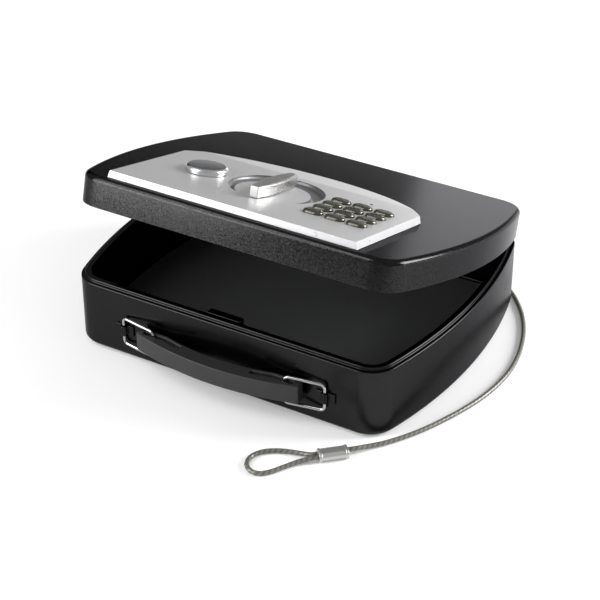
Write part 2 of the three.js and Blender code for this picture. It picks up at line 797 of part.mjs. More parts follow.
// Each part's place as shares of the board, then its width, depth and height
const boardParts = [
  [0.3, 0.35, 14, 12, 2.5], [0.72, 0.3, 10, 16, 3], [0.55, 0.75, 20, 8, 2], [0.15, 0.8, 6, 6, 5],
];
addPiece('circuit_board', join(
  box(boardLeft, boardLeft + boardWidth, boardNear, boardNear + boardDepth, boardBottom, boardTop),
  ...boardParts.map(([u, v, width, depth, height]) => {
    const x = boardLeft + u * boardWidth;
    const y = boardNear + v * boardDepth;
    return box(x - width / 2, x + width / 2, y - depth / 2, y + depth / 2,
      boardBottom - height, boardBottom + boardThickness / 2);
  }),
), 'board', lid);

// Key lock: a body through the lid, a plug that turns in it and a round cap over both
const lockTop = panelTop - lockDrop;
const lockBottom = lockTop - lockLength;
addPiece('key_lock_body', cut(
  join(
    upright(capX, capY, lockRadius, lockBottom, lockTop, 24),
    upright(capX, capY, lockRadius + nutThickness, lidInside - fit - nutThickness, lidInside - fit, 6),
  ),
  upright(capX, capY, plugRadius + fit, lockBottom - 1, lockTop + 1, 20),
), 'nickel', lid);

const plugTop = lockTop - fit;
const tailBottom = lockBottom - tailThickness;
addPiece('key_plug', cut(
  join(
    upright(capX, capY, plugRadius, lockBottom - fit - 0.5, plugTop, 20),
    box(capX - plugRadius * 0.5, capX + plugRadius * 0.5, capY - plugRadius * 0.6, capY + tailReach,
      tailBottom - fit, lockBottom - fit),
  ),
  box(capX - keySlotLength / 2, capX + keySlotLength / 2, capY - keySlotWidth / 2, capY + keySlotWidth / 2,
    plugTop - keySlotDepth, plugTop + through),
), 'nickel', lid);

const capBase = panelTop + fit;
addPiece('lock_cap', turned(capX, capY, [
  [0, lockTop + 2.2], [spigotRadius - 2, lockTop + 2.2], [spigotRadius - 2, lockTop + fit],
  [spigotRadius, lockTop + fit], [spigotRadius, capBase],
  [capRadius, capBase], [capRadius, panelTop + capHeight - 1.6],
  [capRadius - 0.5, panelTop + capHeight - 0.5], [capRadius - 1.6, panelTop + capHeight],
  [0, panelTop + capHeight],
], 28), 'silver', lid);

// Handle: a moulded grip held at each end by a wire ring that swings on a staple
function grip(x) {
  return {
    front: frontWall - strapFront + strapFrontBow * x * x,
    back: frontWall - Math.max(strapBackEnd, strapBack - strapBackBow * x * x),
  };
}

const strapBottom = strapZ - strapHeight / 2;
const strapTop = strapZ + strapHeight / 2;

function strapOutline() {
  const steps = 16;
  const half = strapLength / 2;
  const points = [];
  for (let i = 0; i <= steps; i += 1) {
    const x = -half + (i / steps) * strapLength;
    points.push(new THREE.Vector2(handleX + x, grip(x).front));
  }
  for (let i = steps; i >= 0; i -= 1) {
    const x = -half + (i / steps) * strapLength;
    points.push(new THREE.Vector2(handleX + x, grip(x).back));
  }
  return new THREE.Shape(points);
}

// The slot that a ring's inner side slides in, open above and below
function strapSlot(side) {
  const steps = 8;
  const near = [];
  const far = [];
  for (let i = 0; i <= steps; i += 1) {
    const x = side * (slotInner + (i / steps) * (slotOuter - slotInner));
    const wall = grip(x).back - strapBackWall;
    far.push(new THREE.Vector2(handleX + x, wall));
    near.push(new THREE.Vector2(handleX + x, wall - slotWidth));
  }
  const shape = new THREE.Shape([...near, ...far.reverse()]);
  return extrude(shape, strapBottom - 1, strapTop + 1);
}

addPiece('handle_strap', cut(
  extrude(strapOutline(), strapBottom, strapTop), strapSlot(-1), strapSlot(1),
), 'plastic');

// A ring is a rectangle of round wire. Its outer side is the pivot, in line with Z.
function ringPath() {
  const half = ringHeight / 2;
  const c = ringCorner;
  const path = new THREE.CurvePath();
  const corners = [[0, -half], [ringReach, -half], [ringReach, half], [0, half]];
  const from = (i, j) => {
    const [x, z] = corners[i];
    const [u, w] = corners[j];
    const length = Math.hypot(u - x, w - z);
    return new THREE.Vector3(x + ((u - x) * c) / length, 0, z + ((w - z) * c) / length);
  };
  corners.forEach(([x, z], i) => {
    const next = (i + 1) % 4;
    const start = from(i, next);
    const end = from(next, i);
    const [u, w] = corners[next];
    path.add(new THREE.LineCurve3(start, end));
    path.add(new THREE.QuadraticBezierCurve3(end, new THREE.Vector3(u, 0, w), from(next, (next + 1) % 4)));
  });
  return path;
}

function wireRing() {
  const sides = 8;
  const curves = ringPath().curves;
  const centres = curves.flatMap((curve, i) => curve.getPoints(i % 2 ? 3 : 1).slice(0, -1));
  const index = [];
  const points = [];
  const count = centres.length;
  centres.forEach((centre, i) => {
    const before = centres[(i + count - 1) % count];
    const after = centres[(i + 1) % count];
    const along = after.clone().sub(before).normalize();
    const across = new THREE.Vector3(0, 1, 0);
    const outward = new THREE.Vector3().crossVectors(across, along);
    for (let s = 0; s < sides; s += 1) {
      const angle = (2 * Math.PI * s) / sides;
      const point = centre.clone().addScaledVector(across, ringWire * Math.sin(angle));
      point.addScaledVector(outward, ringWire * Math.cos(angle));
      points.push(point.x, point.y, point.z);
      const a = i * sides + s;
      const b = i * sides + ((s + 1) % sides);
      const c = ((i + 1) % count) * sides + ((s + 1) % sides);
      const d = ((i + 1) % count) * sides + s;
      index.push(a, b, c, a, c, d);
    }
  });
  const geometry = new THREE.BufferGeometry();
  geometry.setAttribute('position', new THREE.Float32BufferAttribute(points, 3));
  geometry.setIndex(index);
  return geometry;
}

function staple(x) {
  const bore = ringWire + slack;
  const outer = bore + stapleThickness;
  const near = frontWall - fit;
  const shape = new THREE.Shape();
  shape.moveTo(x - outer - stapleTab, near);
  shape.lineTo(x - outer - stapleTab, near - stapleThickness);
  shape.lineTo(x - outer, near - stapleThickness);
  shape.lineTo(x - outer, ringAxisY);
  shape.absarc(x, ringAxisY, outer, Math.PI, 2 * Math.PI, false);
  shape.lineTo(x + outer, near - stapleThickness);
  shape.lineTo(x + outer + stapleTab, near - stapleThickness);
  shape.lineTo(x + outer + stapleTab, near);
  shape.lineTo(x + bore, near);
  shape.lineTo(x + bore, ringAxisY);
  shape.absarc(x, ringAxisY, bore, 2 * Math.PI, Math.PI, true);
  shape.lineTo(x - bore, near);
  shape.closePath();
  return extrude(shape, handleZ - stapleHeight / 2, handleZ + stapleHeight / 2, 6);
}

[['left', -1], ['right', 1]].forEach(([name, side]) => {
  const x = handleX + side * ringPivotX;
  const ring = addPiece(`handle_ring_${name}`, wireRing(), 'chrome');
  ring.position.set(x, ringAxisY, handleZ);
  ring.rotation.z = side > 0 ? Math.PI + ringAngle : -ringAngle;
  addPiece(`handle_staple_${name}`, staple(x), 'black');
});

// Tether: a steel rope from a bush in the back wall, coiled behind the case, to a swaged eye
const bushIn = backWall - sheet - fit;
const bushOut = backWall + fit;
const cableStart = bushOut + bushOutside + fit;
addPiece('cable_bush', turnedAlongY(exitX, exitZ, [
  [cableRadius + fit, bushIn - 1.5], [bushFlange, bushIn - 1.5], [bushFlange, bushIn],
  [bushRadius, bushIn], [bushRadius, bushOut], [bushFlange, bushOut],
  [bushFlange * 0.8, bushOut + bushOutside], [cableRadius + fit, bushOut + bushOutside],
  [cableRadius + fit, bushIn - 1.5],
], 16), 'rubber');
const stopFace = bushIn - 1.5 - fit;
addPiece('cable_stop', turnedAlongY(exitX, exitZ, [
  [0, stopFace - stopLength], [stopRadius, stopFace - stopLength], [stopRadius, stopFace],
  [cableRadius, stopFace], [cableRadius, bushOut + bushOutside], [0, bushOut + bushOutside],
], 12), 'ferrule');

const coilLow = cableRadius;
const coilHigh = cableRadius + coilPitch;
const leadPath = [
  [exitX, cableStart, exitZ], [exitX, 124, 29.5], [exitX, 131, 26.5], [exitX, 138, 20.5],
  [exitX, 145, 13.5], [exitX, 152, 8.4], [exitX, 159, 6.2], [exitX, coilY - fit, coilHigh],
];
const runPath = [
  [10, coilY - fit, coilLow], [10.3, 156, coilLow], [12.4, 147, coilLow], [17.5, 139.5, coilLow],
  [26.5, 134, coilLow], [40, 131.4, coilLow], [62, 130.6, coilLow], [84, 130, coilLow],
  [102, 127, coilLow], [115, 122, coilLow], [126, 113.8, coilLow], [137, 101.6, coilLow],
  [148, 86, coilLow], [156.5, 69.5, coilLow], [163, 52.5, coilLow], [168, 34, coilLow],
  [170.8, 15, coilLow], [171, -4, coilLow], [169, -23, coilLow], [164.6, -43, coilLow],
  [158.4, -62.5, coilLow], [151, -81.5, coilLow], [142.5, -98.5, coilLow], [133, -113.5, 2],
  [125.4, -123.6, 2.8],
];

// The ferrule lies along the way from its entry to its eye end.
const ferruleEntry = new THREE.Vector3(117.5, -136.2, ferruleHeight / 2);
const ferruleAlong = new THREE.Vector3(-0.719, -0.695, 0).normalize();
const ferruleAcross = new THREE.Vector3(-ferruleAlong.y, ferruleAlong.x, 0);
const strandOffset = cableRadius + strandGap / 2;

function atFerrule(along, across) {
  return ferruleEntry.clone().addScaledVector(ferruleAlong, along).addScaledVector(ferruleAcross, across);
}

const eyePath = [
  [91.5, -152.6, 2.3], [82, -154.6, coilLow], [72.6, -158.8, coilLow], [65.3, -165, coilLow],
  [61.9, -173.2, coilLow], [63.8, -181.6, coilLow], [70, -186.6, coilLow], [76.8, -186.2, coilLow],
  [82.3, -180.6, coilLow], [87.4, -171.4, coilLow], [93.6, -161.6, 2.3],
];

function cableTube(points, steps) {
  const path = new THREE.CatmullRomCurve3(points, false, 'centripetal');
  const section = new THREE.Shape();
  const sides = 8;
  for (let i = 0; i < sides; i += 1) {
    const angle = (2 * Math.PI * i) / sides;
    const x = cableRadius * Math.cos(angle);
    const y = cableRadius * Math.sin(angle);
    if (i === 0) section.moveTo(x, y);
    else section.lineTo(x, y);
  }
  section.closePath();
  return {
    length: path.getLength(),
    geometry: new THREE.ExtrudeGeometry(section, { steps, extrudePath: path, bevelEnabled: false }),
  };
}

const toVectors = (points) => points.map(([x, y, z]) => new THREE.Vector3(x, y, z));
const lead = cableTube(toVectors(leadPath), 10);
const runEnd = [atFerrule(-7, -strandOffset), atFerrule(-fit, -strandOffset)];
const run = cableTube([...toVectors(runPath), ...runEnd], 42);
const eyeStart = [atFerrule(ferruleLength + fit, -strandOffset), atFerrule(ferruleLength + 4, -strandOffset)];
const eyeEnd = [atFerrule(ferruleLength + 4, strandOffset), atFerrule(ferruleLength + fit, strandOffset)];
const eye = cableTube([...eyeStart, ...toVectors(eyePath), ...eyeEnd], 22);
addPiece('cable_lead', lead.geometry, 'cable');
addPiece('cable_run', run.geometry, 'cable');
addPiece('cable_eye', eye.geometry, 'cable');

// The coil winds in on its upper layer, steps down where it reverses, and winds out below.
function coilPoint(turn) {
  const middle = coilTurns / 2;
  const radius = coilRadius - coilPitch * (middle - Math.abs(turn - middle));
  const climb = THREE.MathUtils.clamp((turn - middle + 0.25) * 2, 0, 1);
  const height = coilHigh - coilPitch * climb * climb * (3 - 2 * climb);
  const angle = 2 * Math.PI * turn;
  return new THREE.Vector3(coilX + radius * Math.cos(angle), coilY + radius * Math.sin(angle), height);
}

function coilTube() {
  const sides = 6;
  const stepsPerTurn = 24;
  const count = Math.round(coilTurns * stepsPerTurn);
  const centres = [...Array(count + 1).keys()].map((i) => coilPoint(i / stepsPerTurn));
  const up = new THREE.Vector3(0, 0, 1);
  const rings = centres.map((centre, i) => {
    const along = centres[Math.min(i + 1, count)].clone().sub(centres[Math.max(i - 1, 0)]).normalize();
    const across = new THREE.Vector3().crossVectors(up, along).normalize();
    const over = new THREE.Vector3().crossVectors(along, across);
    return [...Array(sides).keys()].map((s) => {
      const angle = (2 * Math.PI * s) / sides;
      const point = centre.clone().addScaledVector(across, cableRadius * Math.cos(angle));
      return point.addScaledVector(over, cableRadius * Math.sin(angle));
    });
  });
  return { centres, geometry: skin(rings) };
}

const coil = coilTube();
addPiece('cable_coil', coil.geometry, 'cable');

// Least clear gap between turns of the coil, measured on closely spaced points.
function coilGap() {
  const fine = 72;
  const points = [...Array(Math.round(coilTurns * fine) + 1).keys()].map((i) => coilPoint(i / fine));
  let least = Infinity;
  for (let i = 0; i < points.length; i += 1) {
    for (let j = i + fine / 2; j < points.length; j += 1) {
      least = Math.min(least, points[i].distanceTo(points[j]));
    }
  }
  return least - 2 * cableRadius;
}

function ferrule() {
  const section = new THREE.Shape(stadium(0, 0, ferruleWidth - 1, ferruleHeight - 1, 0));
  const bar = new THREE.ExtrudeGeometry(section, {
    depth: ferruleLength - 1, bevelThickness: 0.5, bevelSize: 0.5, bevelSegments: 1,
  });
  const upwards = new THREE.Vector3(0, 0, 1);
  const place = new THREE.Matrix4().makeBasis(ferruleAcross, upwards, ferruleAlong);
  const start = atFerrule(0.5, 0);
  place.setPosition(start.x, start.y, start.z);
  return bar.applyMatrix4(place);
}

addPiece('cable_ferrule', ferrule(), 'ferrule');

const coilLength = coil.centres.slice(1).reduce((sum, p, i) => sum + p.distanceTo(coil.centres[i]), 0);
console.log('cable lead, coil, run, eye (mm)', lead.length.toFixed(1), coilLength.toFixed(1),
  run.length.toFixed(1), eye.length.toFixed(1));
console.log('least gap between the coil turns (mm)', coilGap().toFixed(2));

// The origin is the middle of the underside of the case, handle and lid, without the tether.
const tether = ['cable_lead', 'cable_coil', 'cable_run', 'cable_ferrule', 'cable_eye'];
safe.updateMatrixWorld(true);
const extent = new THREE.Box3();
safe.traverse((piece) => {
  if (piece.isMesh && !tether.includes(piece.name)) extent.expandByObject(piece, true);
});
const shiftY = -(extent.min.y + extent.max.y) / 2;
safe.position.y = shiftY;
console.log('moved along Y by (mm)', shiftY.toFixed(4));

export default safe;
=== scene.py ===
import json
import math

import bmesh
import bpy
from mathutils import Matrix, Vector


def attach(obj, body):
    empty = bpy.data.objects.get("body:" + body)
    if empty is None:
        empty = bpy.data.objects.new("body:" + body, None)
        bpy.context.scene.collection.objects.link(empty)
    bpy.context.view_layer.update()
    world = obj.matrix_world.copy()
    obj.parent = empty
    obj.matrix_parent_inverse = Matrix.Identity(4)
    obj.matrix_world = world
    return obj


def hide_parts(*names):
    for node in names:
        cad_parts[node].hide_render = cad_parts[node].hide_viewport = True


# Frame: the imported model, the box round it, and the way from drawing millimetres to its metres.
# All pieces are drawn in the case's own millimetres. Those of the lid are drawn shut, and are
# then turned open about the hinge line.
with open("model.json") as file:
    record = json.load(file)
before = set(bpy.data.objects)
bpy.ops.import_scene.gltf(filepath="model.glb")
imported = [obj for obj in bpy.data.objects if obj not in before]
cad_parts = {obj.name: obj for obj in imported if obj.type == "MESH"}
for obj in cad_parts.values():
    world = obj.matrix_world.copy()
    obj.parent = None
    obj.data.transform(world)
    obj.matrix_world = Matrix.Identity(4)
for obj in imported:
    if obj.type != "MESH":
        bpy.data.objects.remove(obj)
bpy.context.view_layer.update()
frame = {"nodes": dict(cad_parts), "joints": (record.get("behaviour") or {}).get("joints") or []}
hinge = next(joint for joint in frame["joints"] if joint["name"] == "lid_hinge")
metre = 0.001
case_depth = 228
hinge_stand_off = 3
hinge_line = Vector(hinge["pos_m"])
lid_angle = math.radians(hinge["range_deg"][0])
shift_y = hinge_line.y / metre - case_depth / 2 - hinge_stand_off
on_case = Matrix.Scale(metre, 4) @ Matrix.Translation((0, shift_y, 0))
from_hinge = Matrix.Translation(hinge_line)
turned_open = from_hinge @ Matrix.Rotation(lid_angle, 4, "X") @ from_hinge.inverted()
on_lid = turned_open @ on_case

# Camera: a long lens at the photograph's height and angle. It is aimed over the keys, in front of
# the middle of the case.
camera_azimuth = math.radians(30.57)
camera_elevation = math.radians(31.95)
camera_distance = 1260.5
camera_target = (40.14, -69.76, 66.32)
camera_lens = 105.58
level = math.cos(camera_elevation)
camera_back = Vector((
    math.sin(camera_azimuth) * level,
    -math.cos(camera_azimuth) * level,
    math.sin(camera_elevation),
))
camera = bpy.data.objects.new("camera", bpy.data.cameras.new("camera"))
camera.data.sensor_width = 36
camera.data.lens = camera_lens
camera.data.clip_start = 0.01
camera.location = on_case @ (Vector(camera_target) + camera_back * camera_distance)
camera.rotation_euler = (-camera_back).to_track_quat("-Z", "Y").to_euler()
bpy.context.scene.collection.objects.link(camera)
bpy.context.scene.camera = camera
bpy.context.scene.view_settings.view_transform = "Standard"

# Tether: a steel rope of twisted wires in a clear coat. It leaves a bush in the back wall, drops
# to the ground, is wound in a flat coil there, runs round the right of the case, and ends in an
# eye held by a pressed ferrule.
cable_radius = 1.75
cable_sides = 12
cable_step = 1.2
coil_x = 36
coil_y = 165
coil_radius = 26
coil_turns = 5.5
coil_pitch = 4
coil_steps = 24
coil_crossing = 0.5
coil_high = cable_radius + coil_pitch
ferrule_length = 21
ferrule_width = 11.6
ferrule_height = 7.6
strand_offset = cable_radius + 0.2
bend_before = 7
bend_after = 4
rope_end = 1
lead_route = [
    (62, 117.6, 30), (62, 124, 29.5), (62, 131, 26.5), (62, 138, 20.5),
    (62, 145, 13.5), (62, 152, 8.4), (62, 159, 6.2),
]
run_on_ground = [
    (10.3, 156), (12.4, 147), (17.5, 139.5), (26.5, 134), (40, 131.4), (62, 130.6), (84, 130),
    (102, 127), (115, 122), (126, 113.8), (137, 101.6), (148, 86), (156.5, 69.5), (163, 52.5),
    (168, 34), (170.8, 15), (171, -4), (169, -23), (164.6, -43), (158.4, -62.5), (151, -81.5),
    (142.5, -98.5),
]
run_rise = [(133, -113.5, 2), (125.4, -123.6, 2.8)]
eye_start = (91.5, -152.6, 2.3)
eye_on_ground = [
    (82, -154.6), (72.6, -158.8), (65.3, -165), (61.9, -173.2), (63.8, -181.6), (70, -186.6),
    (76.8, -186.2), (82.3, -180.6), (87.4, -171.4),
]
eye_end = (93.6, -161.6, 2.3)
ferrule_entry = Vector((117.5, -136.2, ferrule_height / 2))
ferrule_along = Vector((-0.719, -0.695, 0)).normalized()
ferrule_across = Vector((-ferrule_along.y, ferrule_along.x, 0))


def at_ferrule(along, across):
    """A place beside the ferrule's middle line."""
    return ferrule_entry + ferrule_along * along + ferrule_across * across


def coil_point(turn):
    """A place in the coil, which winds in on an upper layer and out again on a lower one."""
    middle = coil_turns / 2
    radius = coil_radius - coil_pitch * (middle - abs(turn - middle))
    drop = min(max((turn - middle) / coil_crossing + 0.5, 0), 1)
    height = coil_high - coil_pitch * drop * drop * (3 - 2 * drop)
    angle = 2 * math.pi * turn
    across = radius * math.cos(angle)
    along = radius * math.sin(angle)
    return Vector((coil_x + across, coil_y + along, height))


def laid(plan):
    """Places of the rope where it lies on the ground."""
    return [(x, y, cable_radius) for x, y in plan]


def smooth_route(points):
    """Points a step apart on a smooth line through the given ones."""
    line = []
    for i, (p1, p2) in enumerate(zip(points, points[1:])):
        p0 = points[i - 1] if i else p1 * 2 - p2
        p3 = points[i + 2] if i + 2 < len(points) else p2 * 2 - p1
        t1 = (p1 - p0).length ** 0.5
        t2 = t1 + (p2 - p1).length ** 0.5
        t3 = t2 + (p3 - p2).length ** 0.5
        steps = max(1, round((p2 - p1).length / cable_step))
        for k in range(steps):
            t = t1 + (t2 - t1) * k / steps
            a1 = p0 * ((t1 - t) / t1) + p1 * (t / t1)
            a2 = p1 * ((t2 - t) / (t2 - t1)) + p2 * ((t - t1) / (t2 - t1))
            a3 = p2 * ((t3 - t) / (t3 - t2)) + p3 * ((t - t2) / (t3 - t2))
            b1 = a1 * ((t2 - t) / t2) + a2 * (t / t2)
            b2 = a2 * ((t3 - t) / (t3 - t1)) + a3 * ((t - t1) / (t3 - t1))
            line.append(b1 * ((t2 - t) / (t2 - t1)) + b2 * ((t - t1) / (t2 - t1)))
    return [*line, points[-1]]


def tube(line, radius, sides, closed=False, up=Vector((0, 0, 1))):
    """A round tube along a line.

    Its UV map holds the distance along the line and the share of a turn round it.
    """
    bm = bmesh.new()
    count = len(line)
    place_on_tube = {}
    loops = []
    walked = 0.0
    for i, point in enumerate(line):
        before = line[i - 1] if i or closed else point
        after = line[(i + 1) % count] if i + 1 < count or closed else point
        along = (after - before).normalized()
        across = up.cross(along).normalized()
        over = along.cross(across)
        walked += (point - line[i - 1]).length if i else 0
        turn = Matrix((across, over, along)).transposed().to_4x4()
        made = bmesh.ops.create_circle(
            bm, segments=sides, radius=radius, matrix=Matrix.Translation(point) @ turn)
        for side, vert in enumerate(made["verts"]):
            place_on_tube[vert] = (walked, side / sides)
        loops.append(list({edge for vert in made["verts"] for edge in vert.link_edges}))
    pairs = list(zip(loops, loops[1:]))
    if closed:
        pairs.append((loops[-1], loops[0]))
    for first, second in pairs:
        bmesh.ops.bridge_loops(bm, edges=first + second)
    layer = bm.loops.layers.uv.new("lay")
    for face in bm.faces:
        rounds = [place_on_tube[loop.vert][1] for loop in face.loops]
        wraps = max(rounds) - min(rounds) > 0.5
        for loop in face.loops:
            distance, share = place_on_tube[loop.vert]
            loop[layer].uv = (distance, share + 1 if wraps and share < 0.5 else share)
    if not closed:
        bmesh.ops.contextual_create(bm, geom=loops[0])
        bmesh.ops.contextual_create(bm, geom=loops[-1])
    return bm


def shader_of(finish):
    """The node that a material's patterns lead to."""
    return finish.node_tree.nodes["Principled BSDF"]


def new_finish(name, colour, **values):
    """A material whose shader has these plain values."""
    finish = bpy.data.materials.new(name)
    finish.use_nodes = True
    shader = shader_of(finish)
    shader.inputs["Base Color"].default_value = (*colour, 1)
    for socket, value in values.items():
        shader.inputs[socket.replace("_", " ")].default_value = value
    return finish


def add_noise(finish, size, stretch=(1, 1, 1), detail=2):
    """A noise with features of that size in millimetres, longer where stretch is above 1."""
    nodes, links = finish.node_tree.nodes, finish.node_tree.links
    place = nodes.new("ShaderNodeTexCoord")
    mapping = nodes.new("ShaderNodeMapping")
    mapping.inputs["Scale"].default_value = [1 / (size * metre * s) for s in stretch]
    noise = nodes.new("ShaderNodeTexNoise")
    noise.inputs["Scale"].default_value = 1
    noise.inputs["Detail"].default_value = detail
    links.new(place.outputs["Object"], mapping.inputs["Vector"])
    links.new(mapping.outputs["Vector"], noise.inputs["Vector"])
    return noise.outputs["Fac"]


# Nearly all of a noise lies between these two.
noise_low = 0.3
noise_high = 0.7


def vary(finish, socket, pattern, low, high):
    """Lets a pattern move one of the shader's plain values between low and high."""
    span = finish.node_tree.nodes.new("ShaderNodeMapRange")
    span.inputs["From Min"].default_value = noise_low
    span.inputs["From Max"].default_value = noise_high
    span.inputs["To Min"].default_value = low
    span.inputs["To Max"].default_value = high
    finish.node_tree.links.new(pattern, span.inputs["Value"])
    finish.node_tree.links.new(span.outputs["Result"], shader_of(finish).inputs[socket])


def tint(finish, pattern, dark, light, low=0.35, high=0.65):
    """Lets a pattern move the colour between dark and light."""
    ramp = finish.node_tree.nodes.new("ShaderNodeValToRGB")
    ramp.color_ramp.elements[0].position = low
    ramp.color_ramp.elements[1].position = high
    ramp.color_ramp.elements[0].color = (*dark, 1)
    ramp.color_ramp.elements[1].color = (*light, 1)
    finish.node_tree.links.new(pattern, ramp.inputs["Fac"])
    finish.node_tree.links.new(ramp.outputs["Color"], shader_of(finish).inputs["Base Color"])


def emboss(finish, pattern, depth, strength=1.0):
    """Raises the surface by the pattern, to a depth in millimetres."""
    bump = finish.node_tree.nodes.new("ShaderNodeBump")
    bump.inputs["Strength"].default_value = strength
    bump.inputs["Distance"].default_value = depth * metre
    finish.node_tree.links.new(pattern, bump.inputs["Height"])
    finish.node_tree.links.new(bump.outputs["Normal"], shader_of(finish).inputs["Normal"])


sharp_from = math.radians(38)


def make_piece(name, bm, place, finish, body, nodes, recalculate=True):
    """Puts a modelled piece in its place on the model and on its body."""
    if recalculate:
        bmesh.ops.recalc_face_normals(bm, faces=bm.faces)
    bmesh.ops.transform(bm, matrix=place, verts=bm.verts)
    for face in bm.faces:
        face.smooth = True
    for edge in bm.edges:
        edge.smooth = edge.calc_face_angle(0) < sharp_from
    mesh = bpy.data.meshes.new(name)
    bm.to_mesh(mesh)
    bm.free()
    mesh.materials.append(finish)
    piece = bpy.data.objects.new(name, mesh)
    bpy.context.scene.collection.objects.link(piece)
    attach(piece, body)
    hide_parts(*nodes)
    return piece


def even_shading(piece):
    """Keeps broad flat faces flat beside their rounded edges."""
    even = piece.modifiers.new("even shading", "WEIGHTED_NORMAL")
    even.keep_sharp = True
    return piece


coil_count = round(coil_turns * coil_steps)
coil_route = [coil_point(step / coil_steps) for step in range(coil_count + 1)]
way_in = [-bend_before, 0, ferrule_length / 2, ferrule_length, ferrule_length + bend_after]
way_back = [ferrule_length + bend_after, ferrule_length, ferrule_length / 2, rope_end]
tether_points = [
    *map(Vector, lead_route), *coil_route, *map(Vector, [*laid(run_on_ground), *run_rise]),
    *(at_ferrule(along, -strand_offset) for along in way_in),
    *map(Vector, [eye_start, *laid(eye_on_ground), eye_end]),
    *(at_ferrule(along, strand_offset) for along in way_back),
]
tether_line = smooth_route(tether_points)

strand_pitch = 2.1
strand_count = 6
rope_finish = new_finish(
    "coated_rope", (0.17, 0.166, 0.146), Metallic=0.3, Roughness=0.42, Coat_Weight=0.25)
rope_nodes, rope_links = rope_finish.node_tree.nodes, rope_finish.node_tree.links
lay_map = rope_nodes.new("ShaderNodeUVMap")
lay_map.uv_map = "lay"
lay_scale = rope_nodes.new("ShaderNodeMapping")
lay_scale.inputs["Scale"].default_value = (1 / strand_pitch, strand_count / 2, 1)
lay_bands = rope_nodes.new("ShaderNodeTexWave")
lay_bands.wave_type = "BANDS"
lay_bands.bands_direction = "DIAGONAL"
lay_bands.inputs["Scale"].default_value = 0.32
lay_bands.inputs["Distortion"].default_value = 0.4
rope_links.new(lay_map.outputs["UV"], lay_scale.inputs["Vector"])
rope_links.new(lay_scale.outputs["Vector"], lay_bands.inputs["Vector"])
tint(rope_finish, lay_bands.outputs["Fac"], (0.1, 0.097, 0.083), (0.19, 0.184, 0.162), 0.1, 0.75)
emboss(rope_finish, lay_bands.outputs["Fac"], 0.15, 0.35)
cable = make_piece(
    "tether_cable", tube(tether_line, cable_radius, cable_sides), on_case, rope_finish,
    "base", ["cable_lead", "cable_coil", "cable_run", "cable_eye"])

# Ferrule: a short aluminium sleeve over the rope and the end of its eye. It is pressed flat on
# the two strands, with a small lip left at each end.
pressed_finish = new_finish("pressed_aluminium", (0.5, 0.5, 0.48), Metallic=0.8, Roughness=0.38)
vary(pressed_finish, "Roughness", add_noise(pressed_finish, 1.2), 0.28, 0.46)
emboss(pressed_finish, add_noise(pressed_finish, 2.5), 0.12, 0.5)
lip_length = 1.6
lip_slope = 0.5
press_depth = 0.45
end_wall = 1.2


def rounded(points, steps):
    """The line through points (across, up, radius), with each inner corner rounded."""
    line = [Vector(points[0][:2])]
    for before, corner, after in zip(points, points[1:], points[2:]):
        here, radius = Vector(corner[:2]), corner[2]
        to_before = (Vector(before[:2]) - here).normalized()
        to_after = (Vector(after[:2]) - here).normalized()
        half = to_before.angle(to_after) / 2
        if radius == 0:
            line.append(here)
            continue
        start = here + to_before * (radius / math.tan(half))
        centre = here + (to_before + to_after).normalized() * (radius / math.sin(half))
        sweep = (math.pi - 2 * half) * (1 if to_before.cross(to_after) < 0 else -1)
        arm = start - centre
        for step in range(steps + 1):
            angle = sweep * step / steps
            line.append(centre + Vector((
                arm.x * math.cos(angle) - arm.y * math.sin(angle),
                arm.x * math.sin(angle) + arm.y * math.cos(angle))))
    return [*line, Vector(points[-1][:2])]


def spin_on(bm, tip, centre, angle, steps):
    """Draws an outline on from its last vertex, round a centre."""
    made = bmesh.ops.spin(
        bm, geom=[tip], cent=(*centre, tip.co.z), axis=(0, 0, 1), angle=angle, steps=steps,
        dvec=(0, 0, 0), use_merge=False, use_normal_flip=False, use_duplicate=False)
    return next(part for part in made["geom_last"] if isinstance(part, bmesh.types.BMVert))


def line_to(bm, tip, point):
    """Draws an outline on from its last vertex, straight to a point."""
    made = bmesh.ops.extrude_vert_indiv(bm, verts=[tip])
    made["verts"][0].co = (*point, tip.co.z)
    return made["verts"][0]


def loft(bm, draw, profile):
    """Skins a piece over one outline, drawn at each inset and height of a profile."""
    loops = []
    for inset, height in profile:
        known = set(bm.edges)
        draw(bm, inset, height)
        loops.append([edge for edge in bm.edges if edge not in known])
    bmesh.ops.contextual_create(bm, geom=loops[0])
    bmesh.ops.contextual_create(bm, geom=loops[-1])
    for first, second in zip(loops, loops[1:]):
        bmesh.ops.bridge_loops(bm, edges=first + second)
    return bm


def draw_stadium(bm, x, y, length, width, inset, height, steps=10):
    """The plan of a bar with round ends."""
    half = (length - width) / 2
    first = bm.verts.new((x + half, y - width / 2 + inset, height))
    tip = spin_on(bm, first, (x + half, y), math.pi, steps)
    tip = line_to(bm, tip, (x - half, y + width / 2 - inset))
    tip = spin_on(bm, tip, (x - half, y), math.pi, steps)
    bm.edges.new((tip, first))


ferrule_outline = rounded([
    (end_wall, 0, 0), (0, 0, 0.5), (0, lip_length, 0.4),
    (press_depth, lip_length + lip_slope, 0.4),
    (press_depth, ferrule_length - lip_length - lip_slope, 0.4),
    (0, ferrule_length - lip_length, 0.4), (0, ferrule_length, 0.5),
    (end_wall, ferrule_length, 0),
], steps=3)
sleeve = loft(
    bmesh.new(), lambda bm, inset, height: draw_stadium(
        bm, 0, 0, ferrule_width, ferrule_height, inset, height), ferrule_outline)
ferrule_turn = Matrix((ferrule_across, Vector((0, 0, 1)), ferrule_along)).transposed().to_4x4()
ferrule_place = on_case @ Matrix.Translation(ferrule_entry) @ ferrule_turn
ferrule = even_shading(make_piece(
    "tether_ferrule", sleeve, ferrule_place, pressed_finish, "base",
    ["cable_ferrule"]))

